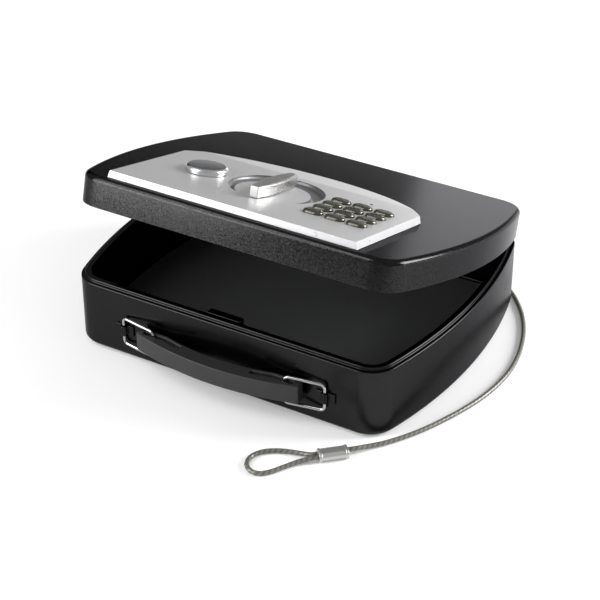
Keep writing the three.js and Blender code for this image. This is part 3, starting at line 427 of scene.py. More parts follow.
# Bush and stop: a rubber sleeve in the hole of the back wall, and the sleeve pressed on the rope's
# inner end. Small pieces like these keep the solid's own shape, with its facets joined and its
# edges softly broken.
rubber_finish = new_finish(
    "black_rubber", (0.022, 0.022, 0.024), Roughness=0.75, Specular_IOR_Level=0.3)
vary(rubber_finish, "Roughness", add_noise(rubber_finish, 1.5), 0.62, 0.85)
emboss(rubber_finish, add_noise(rubber_finish, 0.5), 0.05, 0.5)


def join_facets(bm, weld, angle):
    """Merges vertices closer than weld, and facets that meet within an angle in degrees."""
    bmesh.ops.remove_doubles(bm, verts=bm.verts, dist=weld)
    bmesh.ops.dissolve_limit(
        bm, angle_limit=math.radians(angle), verts=bm.verts, edges=bm.edges,
        use_dissolve_boundaries=False, delimit=set())


def break_edges(piece, width, segments, angle=40):
    """Rounds a piece's edges to a width in millimetres, where they turn by more than an angle."""
    broken = piece.modifiers.new("broken edges", "BEVEL")
    broken.width = width * metre
    broken.segments = segments
    broken.limit_method = "ANGLE"
    broken.angle_limit = math.radians(angle)
    return even_shading(piece)


def dress(name, node, finish, body, edge):
    """A piece of the solid's own shape, with merged facets and broken edges."""
    bm = bmesh.new()
    bm.from_mesh(frame["nodes"][node].data)
    join_facets(bm, weld=1e-6, angle=1)
    piece = make_piece(
        name, bm, Matrix.Identity(4), finish, body, [node], recalculate=False)
    return break_edges(piece, edge, segments=2)


dress("rubber_bush", "cable_bush", rubber_finish, "base", edge=0.4)
dress("rope_stop", "cable_stop", pressed_finish, "base", edge=0.3)

# Case: one tray pressed from 1.6 mm steel, with straight front and back, bowed sides and a
# stepped rim that is rolled over inside. A folded box behind the front rim takes the bolt. The
# satin black paint is given as a very dark metal, with its sheen held down at shallow angles.
case_width = 290
side_radius = 378
corner_radius = 22
rim_height = 55.5
sheet = 1.6
bottom_rounding = 4.5
rim_step = 3
rim_rise = 2.3
rim_width = 4.8
rim_depth = 4.8
rim_rounding = 0.9
rim_slope = 1.5
foot_height = 1.5
corner_steps = 14
side_steps = 32


def draw_case(bm, inset, height):
    """The plan of the case: straight front and back, bowed sides, round corners."""
    side_centre = side_radius - case_width / 2
    corner_y = case_depth / 2 - corner_radius
    corner_x = math.sqrt((side_radius - corner_radius) ** 2 - corner_y ** 2) - side_centre
    swing = math.atan2(corner_y, corner_x + side_centre)
    corner_turn = math.pi / 2 - swing
    first = bm.verts.new((corner_x, -corner_y - corner_radius + inset, height))
    tip = spin_on(bm, first, (corner_x, -corner_y), corner_turn, corner_steps)
    tip = spin_on(bm, tip, (-side_centre, 0), 2 * swing, side_steps)
    tip = spin_on(bm, tip, (corner_x, corner_y), corner_turn, corner_steps)
    tip = line_to(bm, tip, (-corner_x, corner_y + corner_radius - inset))
    tip = spin_on(bm, tip, (-corner_x, corner_y), corner_turn, corner_steps)
    tip = spin_on(bm, tip, (side_centre, 0), 2 * swing, side_steps)
    tip = spin_on(bm, tip, (-corner_x, -corner_y), corner_turn, corner_steps)
    bm.edges.new((tip, first))


def block(x, y, z):
    """A rectangular block between two places along each axis."""
    bm = bmesh.new()
    size = Vector((x[1] - x[0], y[1] - y[0], z[1] - z[0]))
    middle = Vector((x[0] + x[1], y[0] + y[1], z[0] + z[1])) / 2
    place = Matrix.Translation(middle) @ Matrix.Diagonal((*size, 1))
    bmesh.ops.create_cube(bm, size=1, matrix=place)
    return bm


def set_down(name, bm):
    """A passing object for a cut, which is taken away again after it."""
    bmesh.ops.recalc_face_normals(bm, faces=bm.faces)
    mesh = bpy.data.meshes.new(name)
    bm.to_mesh(mesh)
    bm.free()
    held = bpy.data.objects.new(name, mesh)
    bpy.context.scene.collection.objects.link(held)
    return held


def put_in_order(bm):
    """Sorts a mesh by place, because a cut or a merge leaves it in another order each time."""
    decimals = 5

    def place(part):
        corners = [part] if isinstance(part, bmesh.types.BMVert) else part.verts
        return sorted(tuple(round(c, decimals) for c in corner.co) for corner in corners)

    for parts in (bm.verts, bm.edges, bm.faces):
        rank = {part: number for number, part in enumerate(sorted(parts, key=place))}
        parts.sort(key=rank.get)
        parts.index_update()


def carve(bm, *cutters):
    """The blank less its cutters."""
    blank = set_down("blank", bm)
    tools = [set_down("cutter", cutter) for cutter in cutters]
    for tool in tools:
        cut = blank.modifiers.new("cut", "BOOLEAN")
        cut.operation = "DIFFERENCE"
        cut.solver = "EXACT"
        cut.object = tool
    depsgraph = bpy.context.evaluated_depsgraph_get()
    worked = bmesh.new()
    worked.from_mesh(blank.evaluated_get(depsgraph).to_mesh())
    for held in (blank, *tools):
        mesh = held.data
        bpy.data.objects.remove(held)
        bpy.data.meshes.remove(mesh)
    put_in_order(worked)
    join_facets(worked, weld=1e-3, angle=0.5)
    put_in_order(worked)
    return worked


sheen_at_edge = (0.6, 0.6, 0.61, 1)
paint_finish = new_finish(
    "satin_black_paint", (0.025, 0.025, 0.0255), Metallic=1, Roughness=0.24,
    Specular_Tint=sheen_at_edge)
paint_grain = add_noise(paint_finish, 0.55, detail=3)
vary(paint_finish, "Roughness", add_noise(paint_finish, 14), 0.22, 0.27)
tint(paint_finish, paint_grain, (0.021, 0.021, 0.0215), (0.029, 0.029, 0.0295))
emboss(paint_finish, paint_grain, 0.04, 0.3)

rim_top = rim_height + rim_rise
rim_inner = rim_step + rim_width
rim_bottom = rim_top - rim_depth
floor_top = foot_height + sheet
# The outline's two ends lie on the flat, and only give its last corners their direction.
further_in = 30
tray_outline = rounded([
    (further_in, foot_height, 0), (0, foot_height, bottom_rounding), (0, rim_height, 0.8),
    (rim_step, rim_height, 0.7), (rim_step, rim_top, rim_rounding),
    (rim_inner, rim_top, rim_rounding), (rim_inner, rim_bottom, 0.5),
    (sheet, rim_bottom - rim_slope, 0.3), (sheet, floor_top, bottom_rounding - sheet),
    (further_in, floor_top, 0),
], steps=5)
tray = loft(bmesh.new(), draw_case, tray_outline[1:-1])
even_shading(make_piece(
    "case_tray", tray, on_case, paint_finish, "base", ["base_shell"]))
dress("folded_strike", "strike_box", paint_finish, "base", edge=0.2)

# Liner: a mat of dark needle felt, cut to the plan of the floor. It lies loose in the tray, under
# what is kept there.
felt_finish = new_finish(
    "dark_felt", (0.03, 0.031, 0.034), Roughness=0.95, Specular_IOR_Level=0.15, Sheen_Weight=0.25)
felt_fibre = add_noise(felt_finish, 0.6, detail=6)
tint(felt_finish, felt_fibre, (0.01, 0.0105, 0.012), (0.04, 0.042, 0.046))
emboss(felt_finish, felt_fibre, 0.4, 0.9)
dress("floor_mat", "floor_liner", felt_finish, "base", edge=0.6)

# Feet: four round pads of black rubber, one near each corner. They are glued under the tray and
# keep its paint off what it stands on.
for foot in range(1, 5):
    dress(f"rubber_foot_{foot}", f"foot_{foot}", rubber_finish, "base", edge=0.35)

# Hinge: two rolled leaves of the same steel, painted with the case and riveted through the back
# walls. They turn on a bright zinc-plated pin.
pin_finish = new_finish("bright_zinc", (0.55, 0.56, 0.56), Metallic=0.9, Roughness=0.35)
vary(pin_finish, "Roughness", add_noise(pin_finish, 3), 0.28, 0.45)
emboss(pin_finish, add_noise(pin_finish, 0.8), 0.03, 0.4)
dress("hinge_leaf_below", "hinge_base_leaf", paint_finish, "base", edge=0.25)
dress("hinge_leaf_above", "hinge_lid_leaf", paint_finish, "lid", edge=0.25)
dress("hinge_rod", "hinge_pin", pin_finish, "base", edge=0.2)

# Lid: a cover pressed from the same steel in the same plan, with four studs welded inside for
# the lock cover. Its paint has a coarser grain than the tray's.
lid_height = 23.5
lid_rounding = 4
fit = 0.3
lid_top = rim_height + lid_height
lid_inside = lid_top - sheet
seam = rim_height + fit
cover_width = 176
cover_front = 17
cover_depth = 121
cover_drop = 4.3
cover_wall = 1.6
screw_radius = 2.5
screw_inset = 9
front_wall = -case_depth / 2
cover_near = front_wall + cover_front
cover_inside = rim_height - cover_drop + cover_wall
stud_bottom = cover_inside + lid_height / 2
stud_places = [
    (side * (cover_width / 2 - screw_inset), y) for side in (-1, 1)
    for y in (cover_near + screw_inset, cover_near + cover_depth - screw_inset)
]

cover_paint_finish = new_finish(
    "grained_black_paint", (0.025, 0.025, 0.0255), Metallic=1, Roughness=0.18,
    Specular_Tint=sheen_at_edge)
cover_grain = add_noise(cover_paint_finish, 1, detail=4)
vary(cover_paint_finish, "Roughness", cover_grain, 0.1, 0.24)
tint(cover_paint_finish, cover_grain, (0.014, 0.014, 0.0145), (0.036, 0.036, 0.0365))
emboss(cover_paint_finish, cover_grain, 0.05, 0.25)


def upright(x, y, radius, bottom, top, segments):
    """A round bar standing up."""
    bm = bmesh.new()
    bmesh.ops.create_cone(
        bm, cap_ends=True, segments=segments, radius1=radius, radius2=radius, depth=top - bottom,
        matrix=Matrix.Translation((x, y, (bottom + top) / 2)))
    return bm


lid_outline = rounded([
    (further_in, lid_inside, 0), (sheet, lid_inside, lid_rounding - sheet), (sheet, seam, 0.3),
    (0, seam, 0.6), (0, lid_top, lid_rounding), (further_in, lid_top, 0),
], steps=6)
cover_blank = loft(bmesh.new(), draw_case, lid_outline[1:-1])
even_shading(make_piece(
    "lid_cover", cover_blank, on_lid, cover_paint_finish, "lid", ["lid_shell"]))
bar_sides = 24
for number, (x, y) in enumerate(stud_places, 1):
    bar = upright(x, y, screw_radius, stud_bottom, lid_inside + sheet / 2, bar_sides)
    stud = make_piece(f"weld_stud_{number}", bar, on_lid, pin_finish, "lid", [])
    break_edges(stud, width=0.3, segments=2)

# Control panel: a zinc plate cast with a bowed back edge that slopes down to the lid, and a
# crescent groove for the fingers beside the lever. It is blasted, polished on its edges, and
# pegged through the lid.
panel_x = -3.75
panel_width = 205.5
panel_front = 5.5
panel_side = 98.5
panel_bow = 46
panel_height = 5.6
panel_flat = 110
panel_tail = 1.2
panel_skin = 2
bow_steps = 72
cutter_length = 100
cutter_height = 20
hole_clear = 1
sliver = 0.02
key_pitch = (17.4, 13.9)
key_length = 15.5
key_width = 10
key_flange = 0.7
key_steps = 14
key_columns = 3
key_rows = 4
keypad_x = 61.2
keypad_y = -51.2
key_bay_back = -18
lever_x = -2.5
lever_y = -49
shaft_radius = 4
panel_draft = 1.5
groove = (-3.6, -41.6, 35.7)
island = (-1.1, -52.3, 27.8)
groove_depth = 3.2
groove_fillet = 2.4
groove_steps = 128
fillet_steps = 8
cap_x = -61.5
cap_y = -46.5
spigot_radius = 10
peg_radius = 2.5
peg_end = 2
peg_root = 1
peg_x = 93.45
peg_rows = (-99.5, -18)
peg_places = [(side * peg_x, y) for side in (-1, 1) for y in peg_rows]
panel_under = lid_top + fit
panel_top = lid_top + panel_height
panel_near = front_wall + panel_front
panel_corner = panel_near + panel_side
panel_back = panel_corner + panel_bow


def panel_blank():
    """The plate before it is cut: a bowed back, and sides that lean in as they rise."""
    bow_radius = ((panel_width / 2) ** 2 + panel_bow ** 2) / (2 * panel_bow)
    bow_swing = math.asin(panel_width / 2 / bow_radius)
    bm = bmesh.new()
    first = bm.verts.new((panel_x - panel_width / 2, panel_near, panel_under))
    tip = line_to(bm, first, (panel_x + panel_width / 2, panel_near))
    tip = line_to(bm, tip, (panel_x + panel_width / 2, panel_corner))
    tip = spin_on(bm, tip, (panel_x, panel_back - bow_radius), 2 * bow_swing, bow_steps)
    bm.edges.new((tip, first))
    plate = bmesh.ops.contextual_create(bm, geom=bm.edges[:])["faces"]
    raised = bmesh.ops.extrude_face_region(bm, geom=plate)["geom"]
    lifted = [part for part in raised if isinstance(part, bmesh.types.BMVert)]
    bmesh.ops.translate(bm, verts=lifted, vec=(0, 0, panel_top - panel_under))
    lean = (1 - 2 * panel_draft / panel_width, 1, 1)
    bmesh.ops.scale(bm, vec=lean, space=Matrix.Translation((-panel_x, 0, 0)), verts=lifted)
    return bm


def slope_cutter():
    """A block that takes off the plate's slope, from its top's flat down to the back edge."""
    start = panel_near + panel_flat
    angle = math.atan2(panel_height - panel_tail, panel_back - start)
    place = Matrix.Translation((0, start, panel_top)) @ Matrix.Rotation(-angle, 4, "X")
    bm = block((-panel_width, panel_width), (0, cutter_length), (0, cutter_height))
    bmesh.ops.transform(bm, matrix=place, verts=bm.verts)
    return bm


def oval(x, y, length, width, profile):
    """An oval piece, or a cutter for its hole, with its ends to the left and right."""
    return loft(
        bmesh.new(), lambda bm, inset, height: draw_stadium(
            bm, x, y, length, width, inset, height, key_steps), profile)


key_places = [
    (keypad_x + (column - (key_columns - 1) / 2) * key_pitch[0],
     keypad_y + ((key_rows - 1) / 2 - row) * key_pitch[1])
    for row in range(key_rows) for column in range(key_columns)
]
groove_floor = panel_top - groove_depth


def turned(profile, segments):
    """A piece turned from an outline of radii and heights."""
    bm = bmesh.new()
    verts = [bm.verts.new((radius, 0, height)) for radius, height in profile]
    edges = [bm.edges.new(pair) for pair in zip(verts, verts[1:])]
    bmesh.ops.spin(
        bm, geom=verts + edges, cent=(0, 0, 0), axis=(0, 0, 1), angle=2 * math.pi, steps=segments,
        dvec=(0, 0, 0), use_merge=True, use_normal_flip=False, use_duplicate=False)
    bmesh.ops.remove_doubles(bm, verts=bm.verts, dist=1e-4)
    put_in_order(bm)
    return bm


def scoop_disc():
    """The groove's outer wall and floor, as a round cutter with a filleted edge below."""
    x, y, radius = groove
    clear = panel_top + hole_clear
    bm = turned(rounded([
        (0, groove_floor, 0), (radius, groove_floor, groove_fillet), (radius, clear, 0),
        (0, clear, 0)], fillet_steps), groove_steps)
    bmesh.ops.translate(bm, verts=bm.verts, vec=(x, y, 0))
    return bm


def scoop_island():
    """What the cutter leaves: the lever's island, with a foot that spreads to the floor."""
    x, y, radius = island
    low = groove_floor - sliver
    deep = low - hole_clear
    clear = panel_top + 2 * hole_clear
    spread = radius + 2 * groove_fillet
    bm = turned(rounded([
        (0, deep, 0), (spread, deep, 0), (spread, low, 0), (radius, low, groove_fillet),
        (radius, clear, 0), (0, clear, 0)], fillet_steps), groove_steps)
    bmesh.ops.translate(bm, verts=bm.verts, vec=(x, y, 0))
    return bm


crescent = carve(scoop_disc(), scoop_island())
pad_half = (
    key_columns / 2 * key_pitch[0] + key_flange,
    key_rows / 2 * key_pitch[1] + key_flange,
)
below = panel_under - hole_clear
skin_below = panel_top - panel_skin - hole_clear
above = panel_top + hole_clear
key_bay = block(
    (keypad_x - pad_half[0], keypad_x + pad_half[0]), (keypad_y - pad_half[1], key_bay_back),
    (below, panel_top - panel_skin))
key_holes = [
    oval(x, y, key_length + 2 * fit, key_width + 2 * fit, [(0, skin_below), (0, above)])
    for x, y in key_places
]
panel = carve(
    panel_blank(), slope_cutter(), crescent, key_bay,
    upright(lever_x, lever_y, shaft_radius + fit, below, above, segments=48),
    upright(cap_x, cap_y, spigot_radius + fit, below, above, segments=64),
    *key_holes)
plate_finish = new_finish("satin_silver", (0.54, 0.54, 0.545), Metallic=0.45, Roughness=0.38)
plate_grain = add_noise(plate_finish, 0.35, detail=3)
vary(plate_finish, "Roughness", add_noise(plate_finish, 20), 0.36, 0.4)
tint(plate_finish, plate_grain, (0.5, 0.5, 0.505), (0.58, 0.58, 0.585))
emboss(plate_finish, plate_grain, 0.02, 0.25)
edge_finish = new_finish("polished_edge", (0.52, 0.52, 0.53), Metallic=0.5, Roughness=0.3)
vary(edge_finish, "Roughness", add_noise(edge_finish, 6), 0.27, 0.33)
# The groove's faces take a far darker colour than the plate: painted shade for the recess of the
# finger groove.
scoop_shade_finish = new_finish("painted_shade_scoop", (0.2, 0.2, 0.205), Metallic=0.6, Roughness=0.4)
scoop_grain = add_noise(scoop_shade_finish, 0.5, detail=3)
tint(scoop_shade_finish, scoop_grain, (0.16, 0.16, 0.165), (0.24, 0.24, 0.245))
emboss(scoop_shade_finish, scoop_grain, 0.03, 0.4)
silver_panel = make_piece(
    "silver_panel", panel, on_lid, plate_finish, "lid", ["control_panel"])
silver_panel.data.materials.append(edge_finish)
silver_panel.data.materials.append(scoop_shade_finish)
edge_slot = 1
scoop_slot = 2
slack = 0.1
front_reach = 0.5
side_reach = 2
steep = 0.5
to_lid = on_lid.inverted()
# Faces in the groove take the slot of painted shade; the plate's upright front and side faces take
# the polished edge.
for face in silver_panel.data.polygons:
    middle = to_lid @ face.center
    upward = (to_lid.to_3x3() @ face.normal).normalized().z
    from_groove = math.hypot(middle.x - groove[0], middle.y - groove[1])
    from_shaft = math.hypot(middle.x - lever_x, middle.y - lever_y)
    in_scoop = from_groove < groove[2] + slack and from_shaft > 2 * shaft_radius
    at_front = middle.y < panel_near + front_reach
    at_side = abs(middle.x - panel_x) > panel_width / 2 - side_reach
    if in_scoop and groove_floor - slack < middle.z < panel_top - slack / 2:
        face.material_index = scoop_slot
    elif abs(upward) < steep and (at_front or at_side):
        face.material_index = edge_slot
break_edges(silver_panel, width=0.5, segments=3, angle=50)
peg_bottom = lid_inside - fit - peg_end
peg_top = panel_under + peg_root
for number, (x, y) in enumerate(peg_places, 1):
    bar = upright(x, y, peg_radius, peg_bottom, peg_top, bar_sides)
    peg = make_piece(
        f"panel_peg_{number}", bar, on_lid, plate_finish, "lid", [])
    break_edges(peg, width=0.3, segments=2)

# Keys: twelve oval caps of plastic with a metal-coloured lacquer, on a rubber switch mat. Each
# has a flange below that keeps it in the plate.
mat_thickness = 1
key_rise = 2.5
key_travel = 0.8
key_rounding = 2.1
key_wall = 2
key_flat = 2.9
mat_top = panel_under + mat_thickness
key_bottom = mat_top + key_travel + fit
key_step = panel_top - panel_skin - fit
key_top = panel_top + key_rise
key_finish = new_finish(
    "olive_grey_lacquer", (0.085, 0.082, 0.063), Metallic=0.8, Roughness=0.27, Coat_Weight=0.3,
    Coat_Roughness=0.15)
vary(key_finish, "Roughness", add_noise(key_finish, 4), 0.22, 0.32)
emboss(key_finish, add_noise(key_finish, 0.5), 0.01, 0.3)
key_outline = rounded([
    (key_wall, key_bottom, 0), (-key_flange, key_bottom, 0.2), (-key_flange, key_step, 0.2),
    (0, key_step, 0.15), (0, key_top, key_rounding), (key_flat, key_top, 0),
], steps=6)
key_names = ["1", "2", "3", "4", "5", "6", "7", "8", "9", "clear", "0", "enter"]
key_bodies = [
    "one", "two", "three", "four", "five", "six", "seven", "eight", "nine", "of_clear", "zero",
    "of_enter",
]
for (x, y), name, body in zip(key_places, key_names, key_bodies):
    key = oval(x, y, key_length, key_width, key_outline)
    even_shading(make_piece(
        f"oval_key_{name}", key, on_lid, key_finish, f"key_{body}",
        [f"key_{name}"]))
dress("switch_mat", "keypad_mat", rubber_finish, "lid", edge=0.2)

# Lamps: two small dark lenses pressed into the plate, one behind the keys and one beyond the
# lever. They light up when a key is pressed.
lamp_finish = new_finish("smoked_lens", (0.01, 0.01, 0.012), Roughness=0.12, Coat_Weight=1)
vary(lamp_finish, "Roughness", add_noise(lamp_finish, 0.6), 0.08, 0.16)
lamp_radius = 1.3
lamp_places = [(60.8, -14.8, 0), (-17.2, -0.2, 0)]
lamp_bottom = panel_top - 1.5
lamp_edge = panel_top + 0.4
lamp_top = panel_top + 0.5
lamp_outline = rounded([
    (0, lamp_bottom, 0), (lamp_radius, lamp_bottom, 0.2), (lamp_radius, lamp_edge, 0.5),
    (0, lamp_top, 0),
], steps=5)
for number, place in enumerate(lamp_places, 1):
    lens = turned(lamp_outline, segments=24)
    even_shading(make_piece(
        f"lamp_lens_{number}", lens, on_lid @ Matrix.Translation(place), lamp_finish, "lid",
        []))

# Lever: a bar cast in zinc with bowed sides and a bevelled top, nickel plated. It stands on a
# shaft that goes through the lid and turns the cam.
lever_length = 57
lever_width = 6.6
lever_belly = 13.2
lever_height = 8.6
lever_foot = panel_top + 0.4
lever_bevel = 0.9
lever_steps = 24


def draw_lever(bm, inset, height):
    """The plan of the lever: square ends and bowed sides."""
    half = lever_length / 2 - inset
    near = lever_width / 2 - inset
    bow = (lever_belly - lever_width) / 2
    radius = (half ** 2 + bow ** 2) / (2 * bow)
    swing = math.asin(half / radius)
    right = near + bow - radius
    first = bm.verts.new((lever_x + near, lever_y - half, height))
    tip = spin_on(bm, first, (lever_x + right, lever_y), 2 * swing, lever_steps)
    tip = line_to(bm, tip, (lever_x - near, lever_y + half))
    tip = spin_on(bm, tip, (lever_x - right, lever_y), 2 * swing, lever_steps)
    bm.edges.new((tip, first))


nickel_finish = new_finish("satin_nickel", (0.44, 0.437, 0.425), Metallic=0.88, Roughness=0.3)
vary(nickel_finish, "Roughness", add_noise(nickel_finish, 8), 0.26, 0.35)
emboss(nickel_finish, add_noise(nickel_finish, 0.4), 0.006, 0.2)
lever_top = lever_foot + lever_height
lever_bar = loft(bmesh.new(), draw_lever, [
    (0, lever_foot), (0, lever_top - lever_bevel), (lever_bevel, lever_top)])
lever = make_piece(
    "turn_lever", lever_bar, on_lid, nickel_finish, "lever", ["latch_lever"])
break_edges(lever, width=0.35, segments=3, angle=25)
dress("lever_shaft", "latch_shaft", pin_finish, "lever", edge=0.25)
dress("lever_cam", "latch_cam", pin_finish, "lever", edge=0.25)

# Cap: a disc turned from one piece of steel, with a rounded edge, polished and plated. It covers
# the key lock and lifts off.
cap_radius = 16
cap_height = 5.2
cap_rounding = 2.4
lock_top = panel_top - 2.3
cap_finish = new_finish("plated_steel", (0.6, 0.605, 0.615), Metallic=1, Roughness=0.24)
vary(cap_finish, "Roughness", add_noise(cap_finish, 6), 0.22, 0.27)
emboss(cap_finish, add_noise(cap_finish, 0.5), 0.006, 0.3)

spigot_bore = spigot_radius - 2
spigot_foot = lock_top + fit
bore_top = lock_top + 2.2
cap_base = panel_top + fit
cap_top = panel_top + cap_height
cap_outline = rounded([
    (0, bore_top, 0), (spigot_bore, bore_top, 0.2), (spigot_bore, spigot_foot, 0.2),
    (spigot_radius, spigot_foot, 0.3), (spigot_radius, cap_base, 0.2),
    (cap_radius, cap_base, 0.3), (cap_radius, cap_top - 0.3, cap_rounding), (0, cap_top, 0),
], steps=8)
even_shading(make_piece(
    "cap_disc", turned(cap_outline, segments=64), on_lid @ Matrix.Translation((cap_x, cap_y, 0)),
    cap_finish, "cap", ["lock_cap"]))
dress("lock_barrel", "key_lock_body", nickel_finish, "lid", edge=0.3)
dress("lock_plug", "key_plug", nickel_finish, "plug", edge=0.2)

# Latch: a bolt of zinc-plated steel in a moulded guide, and a solenoid whose plunger holds the
# cam. They are fixed under the lid, behind a moulded cover with four screws.
plastic_finish = new_finish(
    "moulded_black", (0.018, 0.018, 0.019), Roughness=0.5, Specular_IOR_Level=0.4)
plastic_grain = add_noise(plastic_finish, 0.6, detail=3)
vary(plastic_finish, "Roughness", add_noise(plastic_finish, 10), 0.45, 0.58)
tint(plastic_finish, plastic_grain, (0.014, 0.014, 0.015), (0.024, 0.024, 0.025))
emboss(plastic_finish, plastic_grain, 0.04, 0.5)
dress("sliding_bolt", "latch_bolt", pin_finish, "bolt", edge=0.3)
dress("guide_block", "bolt_guide", plastic_finish, "lid", edge=0.3)
dress("solenoid_can", "solenoid_body", pin_finish, "lid", edge=0.5)
dress("solenoid_core", "solenoid_plunger", nickel_finish, "plunger", edge=0.3)
dress("lock_housing", "lock_cover", plastic_finish, "lid", edge=0.4)
for number in range(1, 5):
    dress(f"housing_screw_{number}", f"cover_screw_{number}", pin_finish, "lid", edge=0.2)

# Battery and board: four cells in a moulded tray that a sliding door closes, and the green
# board that reads the keys. They are fixed under the lid as well.
cell_finish = new_finish(
    "cell_sleeve", (0.3, 0.31, 0.33), Metallic=0.5, Roughness=0.35, Coat_Weight=0.4)
vary(cell_finish, "Roughness", add_noise(cell_finish, 5), 0.3, 0.42)
board_finish = new_finish("green_board", (0.02, 0.1, 0.045), Roughness=0.45)
board_weave = add_noise(board_finish, 3, (3, 1, 1))
tint(board_finish, board_weave, (0.012, 0.07, 0.03), (0.03, 0.15, 0.07))
dress("cell_tray", "battery_tray", plastic_finish, "lid", edge=0.3)
for number in range(1, 5):
    dress(f"cell_{number}", f"battery_cell_{number}", cell_finish, "lid", edge=0.5)
dress("cell_door", "battery_door", plastic_finish, "door", edge=0.3)
dress("key_board", "circuit_board", board_finish, "lid", edge=0.15)

# Handle: a grip moulded in one piece in black plastic, with a bowed front. A slot near each end
# takes the side of its ring.
handle_x = 2
strap_length = 137
strap_height = 14.4
strap_z = 26.6
slot_width = 3.6
slot_ends = (30, 63.4)
slot_steps = 16
strap_back_wall = 2.5
strap_steps = 48
grip_front_out = 21.2
grip_front_bow = 0.0023
grip_back_out = 9.4
grip_back_bow = 0.0031
wall_gap = 3


def grip_front(x):
    """How far forward the grip's front is, at a distance across from its middle."""
    return front_wall - grip_front_out + grip_front_bow * x * x


def grip_back(x):
    """The same for the grip's back, which lies nearly on the wall at its ends."""
    return front_wall - max(wall_gap, grip_back_out - grip_back_bow * x * x)


def slot_front(x):
    """The front wall of the slot for a ring."""
    return grip_back(x) - strap_back_wall - slot_width


def slot_back(x):
    """Its back wall."""
    return grip_back(x) - strap_back_wall


def grip_bar(front, back, start, end, bottom, top, steps):
    """An upright bar between two lines across the handle."""
    bm = bmesh.new()
    span = [start + (end - start) * step / steps for step in range(steps + 1)]
    first = tip = bm.verts.new((handle_x + span[0], front(span[0]), bottom))
    for x in span[1:]:
        tip = line_to(bm, tip, (handle_x + x, front(x)))
    for x in reversed(span):
        tip = line_to(bm, tip, (handle_x + x, back(x)))
    bm.edges.new((tip, first))
    plan = bmesh.ops.contextual_create(bm, geom=bm.edges[:])["faces"]
    raised = bmesh.ops.extrude_face_region(bm, geom=plan)["geom"]
    lifted = [part for part in raised if isinstance(part, bmesh.types.BMVert)]
    bmesh.ops.translate(bm, verts=lifted, vec=(0, 0, top - bottom))
    return bm


strap_bottom = strap_z - strap_height / 2
strap_top = strap_z + strap_height / 2
slots = [
    grip_bar(
        slot_front, slot_back, side * slot_ends[0], side * slot_ends[1],
        strap_bottom - hole_clear, strap_top + hole_clear, slot_steps)
    for side in (-1, 1)
]
grip_blank = grip_bar(
    grip_front, grip_back, -strap_length / 2, strap_length / 2,
    strap_bottom, strap_top, strap_steps)
grip = make_piece(
    "moulded_grip", carve(grip_blank, *slots), on_case, plastic_finish, "handle",
    ["handle_strap"])
break_edges(grip, width=0.9, segments=3, angle=30)

# Rings: closed rectangles of round spring wire, chromed. One side of each lies in the grip's slot,
# and a steel staple holds the other to the case.
ring_reach = 30.5
ring_height = 21.5
ring_wire = 1.25
ring_sides = 16
ring_corner = 3.5
ring_corner_steps = 8
ring_pivot_x = 85.5
ring_stand_off = 2
ring_z = 25.75
ring_angle = math.radians(10)

chrome_finish = new_finish("polished_chrome", (0.4, 0.405, 0.415), Metallic=1, Roughness=0.12)
vary(chrome_finish, "Roughness", add_noise(chrome_finish, 6), 0.09, 0.15)
emboss(chrome_finish, add_noise(chrome_finish, 2), 0.004, 0.3)


def ring_line():
    """The wire's middle line: straight sides and quarter turns."""
    line = []
    half = ring_height / 2
    corners = [(ring_reach, -half), (ring_reach, half), (0, half), (0, -half)]
    for turn, (x, z) in enumerate(corners):
        inward_x = ring_corner if x == 0 else -ring_corner
        inward_z = ring_corner if z < 0 else -ring_corner
        centre = Vector((x + inward_x, 0, z + inward_z))
        for step in range(ring_corner_steps + 1):
            angle = math.pi / 2 * (turn - 1 + step / ring_corner_steps)
            line.append(centre + Vector((math.cos(angle), 0, math.sin(angle))) * ring_corner)
    return line


for side, name in ((-1, "left"), (1, "right")):
    turn = Matrix.Rotation(math.pi + ring_angle if side > 0 else -ring_angle, 4, "Z")
    pivot = (handle_x + side * ring_pivot_x, front_wall - ring_stand_off, ring_z)
    wire = tube(ring_line(), ring_wire, ring_sides, closed=True, up=Vector((0, 1, 0)))
    make_piece(
        f"wire_ring_{name}", wire, on_case @ Matrix.Translation(pivot) @ turn, chrome_finish,
        f"ring_{name}", [f"handle_ring_{name}"])
    dress(
        f"ring_staple_{name}", f"handle_staple_{name}", paint_finish, "base",
        edge=0.25)

# Floor and light: a plain white floor, four soft boxes, and a grey room that is dark behind the
# left of the case, where the lid's top mirrors it.
floor_mesh = bpy.data.meshes.new("floor")
floor_shape = bmesh.new()
bmesh.ops.create_grid(floor_shape, x_segments=1, y_segments=1, size=20)
floor_shape.to_mesh(floor_mesh)
floor_shape.free()
floor = bpy.data.objects.new("floor", floor_mesh)
bpy.context.scene.collection.objects.link(floor)
floor_finish = new_finish(
    "white_floor", (0.86, 0.86, 0.86), Roughness=0.9, Specular_IOR_Level=0,
    Emission_Color=(1, 1, 1, 1))
floor_nodes, floor_links = floor_finish.node_tree.nodes, floor_finish.node_tree.links

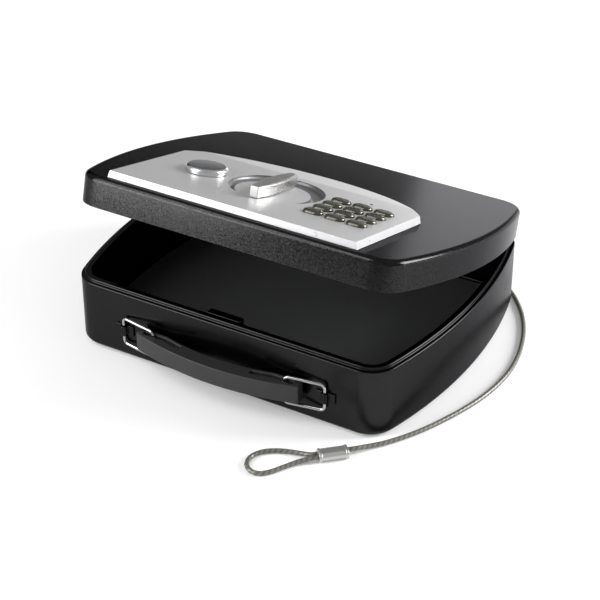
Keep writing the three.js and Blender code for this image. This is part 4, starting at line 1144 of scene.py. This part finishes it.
# The floor glows a little for the camera, and for what gloss or glass shows of it.
floor_glow = 0.16
path = floor_nodes.new("ShaderNodeLightPath")
seen = path.outputs["Is Camera Ray"]
for ray in ("Is Glossy Ray", "Is Transmission Ray"):
    either = floor_nodes.new("ShaderNodeMath")
    either.operation = "MAXIMUM"
    floor_links.new(seen, either.inputs[0])
    floor_links.new(path.outputs[ray], either.inputs[1])
    seen = either.outputs[0]
lift = floor_nodes.new("ShaderNodeMath")
lift.operation = "MULTIPLY"
lift.inputs[1].default_value = floor_glow
floor_links.new(seen, lift.inputs[0])
floor_links.new(lift.outputs[0], shader_of(floor_finish).inputs["Emission Strength"])
floor_mesh.materials.append(floor_finish)

dark_way = (-0.707, 0.707, 0)
world = bpy.data.worlds.new("pale_room")
bpy.context.scene.world = world
world.use_nodes = True
room_nodes, room_links = world.node_tree.nodes, world.node_tree.links
room = room_nodes["Background"]
room.inputs["Color"].default_value = (1, 1, 1, 1)
room_place = room_nodes.new("ShaderNodeTexCoord")
room_turn = room_nodes.new("ShaderNodeVectorMath")
room_turn.operation = "DOT_PRODUCT"
room_turn.inputs[1].default_value = dark_way
room_fall = room_nodes.new("ShaderNodeMapRange")
room_fall.interpolation_type = "SMOOTHSTEP"
room_fall.inputs["From Min"].default_value = 0.8
room_fall.inputs["From Max"].default_value = 0.95
room_fall.inputs["To Min"].default_value = 0.45
room_fall.inputs["To Max"].default_value = 0.01
room_links.new(room_place.outputs["Generated"], room_turn.inputs[0])
room_links.new(room_turn.outputs["Value"], room_fall.inputs["Value"])
room_links.new(room_fall.outputs["Result"], room.inputs["Strength"])

lamp_aim = Vector((0, 0, 0.05))
for name, place, size, power in (
    ("soft_box_above", (-0.75, -0.85, 1.3), 0.9, 10),
    ("soft_box_left", (-0.92, -1.08, 0.45), 0.8, 16),
    ("soft_box_right", (1.12, 0.76, 0.56), 0.7, 30),
    ("soft_box_behind", (-0.33, 1.56, 0.22), 0.45, 1.1),
):
    lamp = bpy.data.lights.new(name, "AREA")
    lamp.shape = "SQUARE"
    lamp.size = size
    lamp.energy = power
    box = bpy.data.objects.new(name, lamp)
    box.location = place
    box.rotation_euler = (Vector(place) - lamp_aim).to_track_quat("Z", "Y").to_euler()
    bpy.context.scene.collection.objects.link(box)
